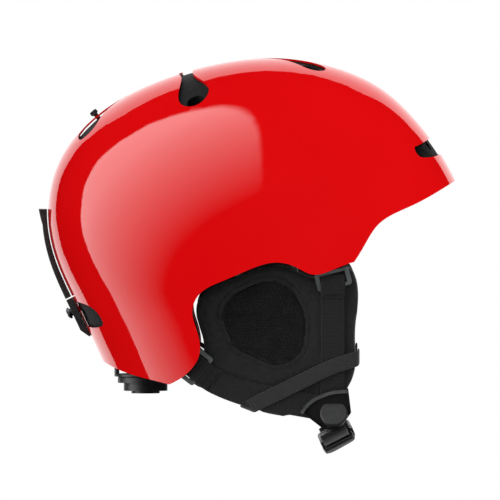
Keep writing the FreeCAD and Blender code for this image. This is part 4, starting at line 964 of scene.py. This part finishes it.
# brightness of the screen: most at the far left and above, none towards the camera
glow = add(tree, "ShaderNodeVectorMath", {0: way.outputs["Vector"]}, operation="DOT_PRODUCT")
glow.inputs[1].default_value = SCREEN_GLOW_WAY
level = add(tree, "ShaderNodeMath", {0: glow.outputs["Value"]}, operation="ADD")
level.inputs[1].default_value = SCREEN_GLOW_BASE
soft = add(tree, "ShaderNodeClamp", {"Value": level.outputs["Value"]}, Min=0.0, Max=SCREEN_GLOW_MOST)
# the screen fills the quarter of the room to the left of the camera, with a round corner
corner = add(tree, "ShaderNodeMath", {0: part.outputs["X"], 1: part.outputs["Y"]}, operation="MULTIPLY")
edge = add(tree, "ShaderNodeMapRange", {"Value": corner.outputs["Value"]},
           interpolation_type="SMOOTHSTEP")
edge.inputs["From Min"].default_value = SCREEN_CORNER
edge.inputs["From Max"].default_value = SCREEN_CORNER * 1.5
left = add(tree, "ShaderNodeMath", {0: part.outputs["X"]}, operation="LESS_THAN")
left.inputs[1].default_value = 0.0
masked = add(tree, "ShaderNodeMath", {0: soft.outputs["Result"], 1: edge.outputs["Result"]},
             operation="MULTIPLY")
shown = add(tree, "ShaderNodeMath", {0: masked.outputs["Value"], 1: left.outputs["Value"]},
            operation="MULTIPLY")
tree.links.new(shown.outputs["Value"], paper.inputs["Strength"])
side_screen.data.materials.append(material)

BACK_SCREEN_AWAY = 1.5
BACK_SCREEN_GLOW = 1.3
bpy.ops.mesh.primitive_plane_add(size=1, location=(-0.1, BACK_SCREEN_AWAY, 0.6),
                                 rotation=(math.pi / 2, 0, 0))
back_screen = bpy.context.object
back_screen.name = "back_screen"
back_screen.scale = (2.6, 3.1, 1)
back_screen.data.materials.append(glowing_paper("back_screen_paper", BACK_SCREEN_GLOW)[0])
for screen in (side_screen, back_screen):
    screen.visible_camera = False
    screen.visible_diffuse = False
    screen.visible_shadow = False
print("screens at", SCREEN_RADIUS, "and", BACK_SCREEN_AWAY, "m")


# %% Lights
def softbox(name, place, aim, size, power, gloss):
    """A rectangular area light that faces its aim."""
    light = bpy.data.lights.new(name, "AREA")
    light.shape = "RECTANGLE"
    light.size, light.size_y = size
    light.energy = power
    lamp = bpy.data.objects.new(name, light)
    bpy.context.collection.objects.link(lamp)
    lamp.location = place
    lamp.visible_glossy = gloss
    lamp.rotation_mode = "QUATERNION"
    lamp.rotation_quaternion = (Vector(place) - Vector(aim)).to_track_quat("Z", "Y")
    return lamp


softbox("key_softbox", (0.5, -1.4, 1.2), (0, 0, 0.03), (0.9, 0.9), 1.0, False)
softbox("top_softbox", (0.1, 0.2, 1.6), (0, 0, 0.05), (1.4, 1.0), 1.0, False)
world = bpy.data.worlds.new("studio_room")
bpy.context.scene.world = world
world.use_nodes = True
room = world.node_tree.nodes["Background"]
room.inputs["Color"].default_value = (1, 1, 1, 1)
room.inputs["Strength"].default_value = 0.03
bpy.context.scene.view_settings.view_transform = "Standard"
print("lights set")
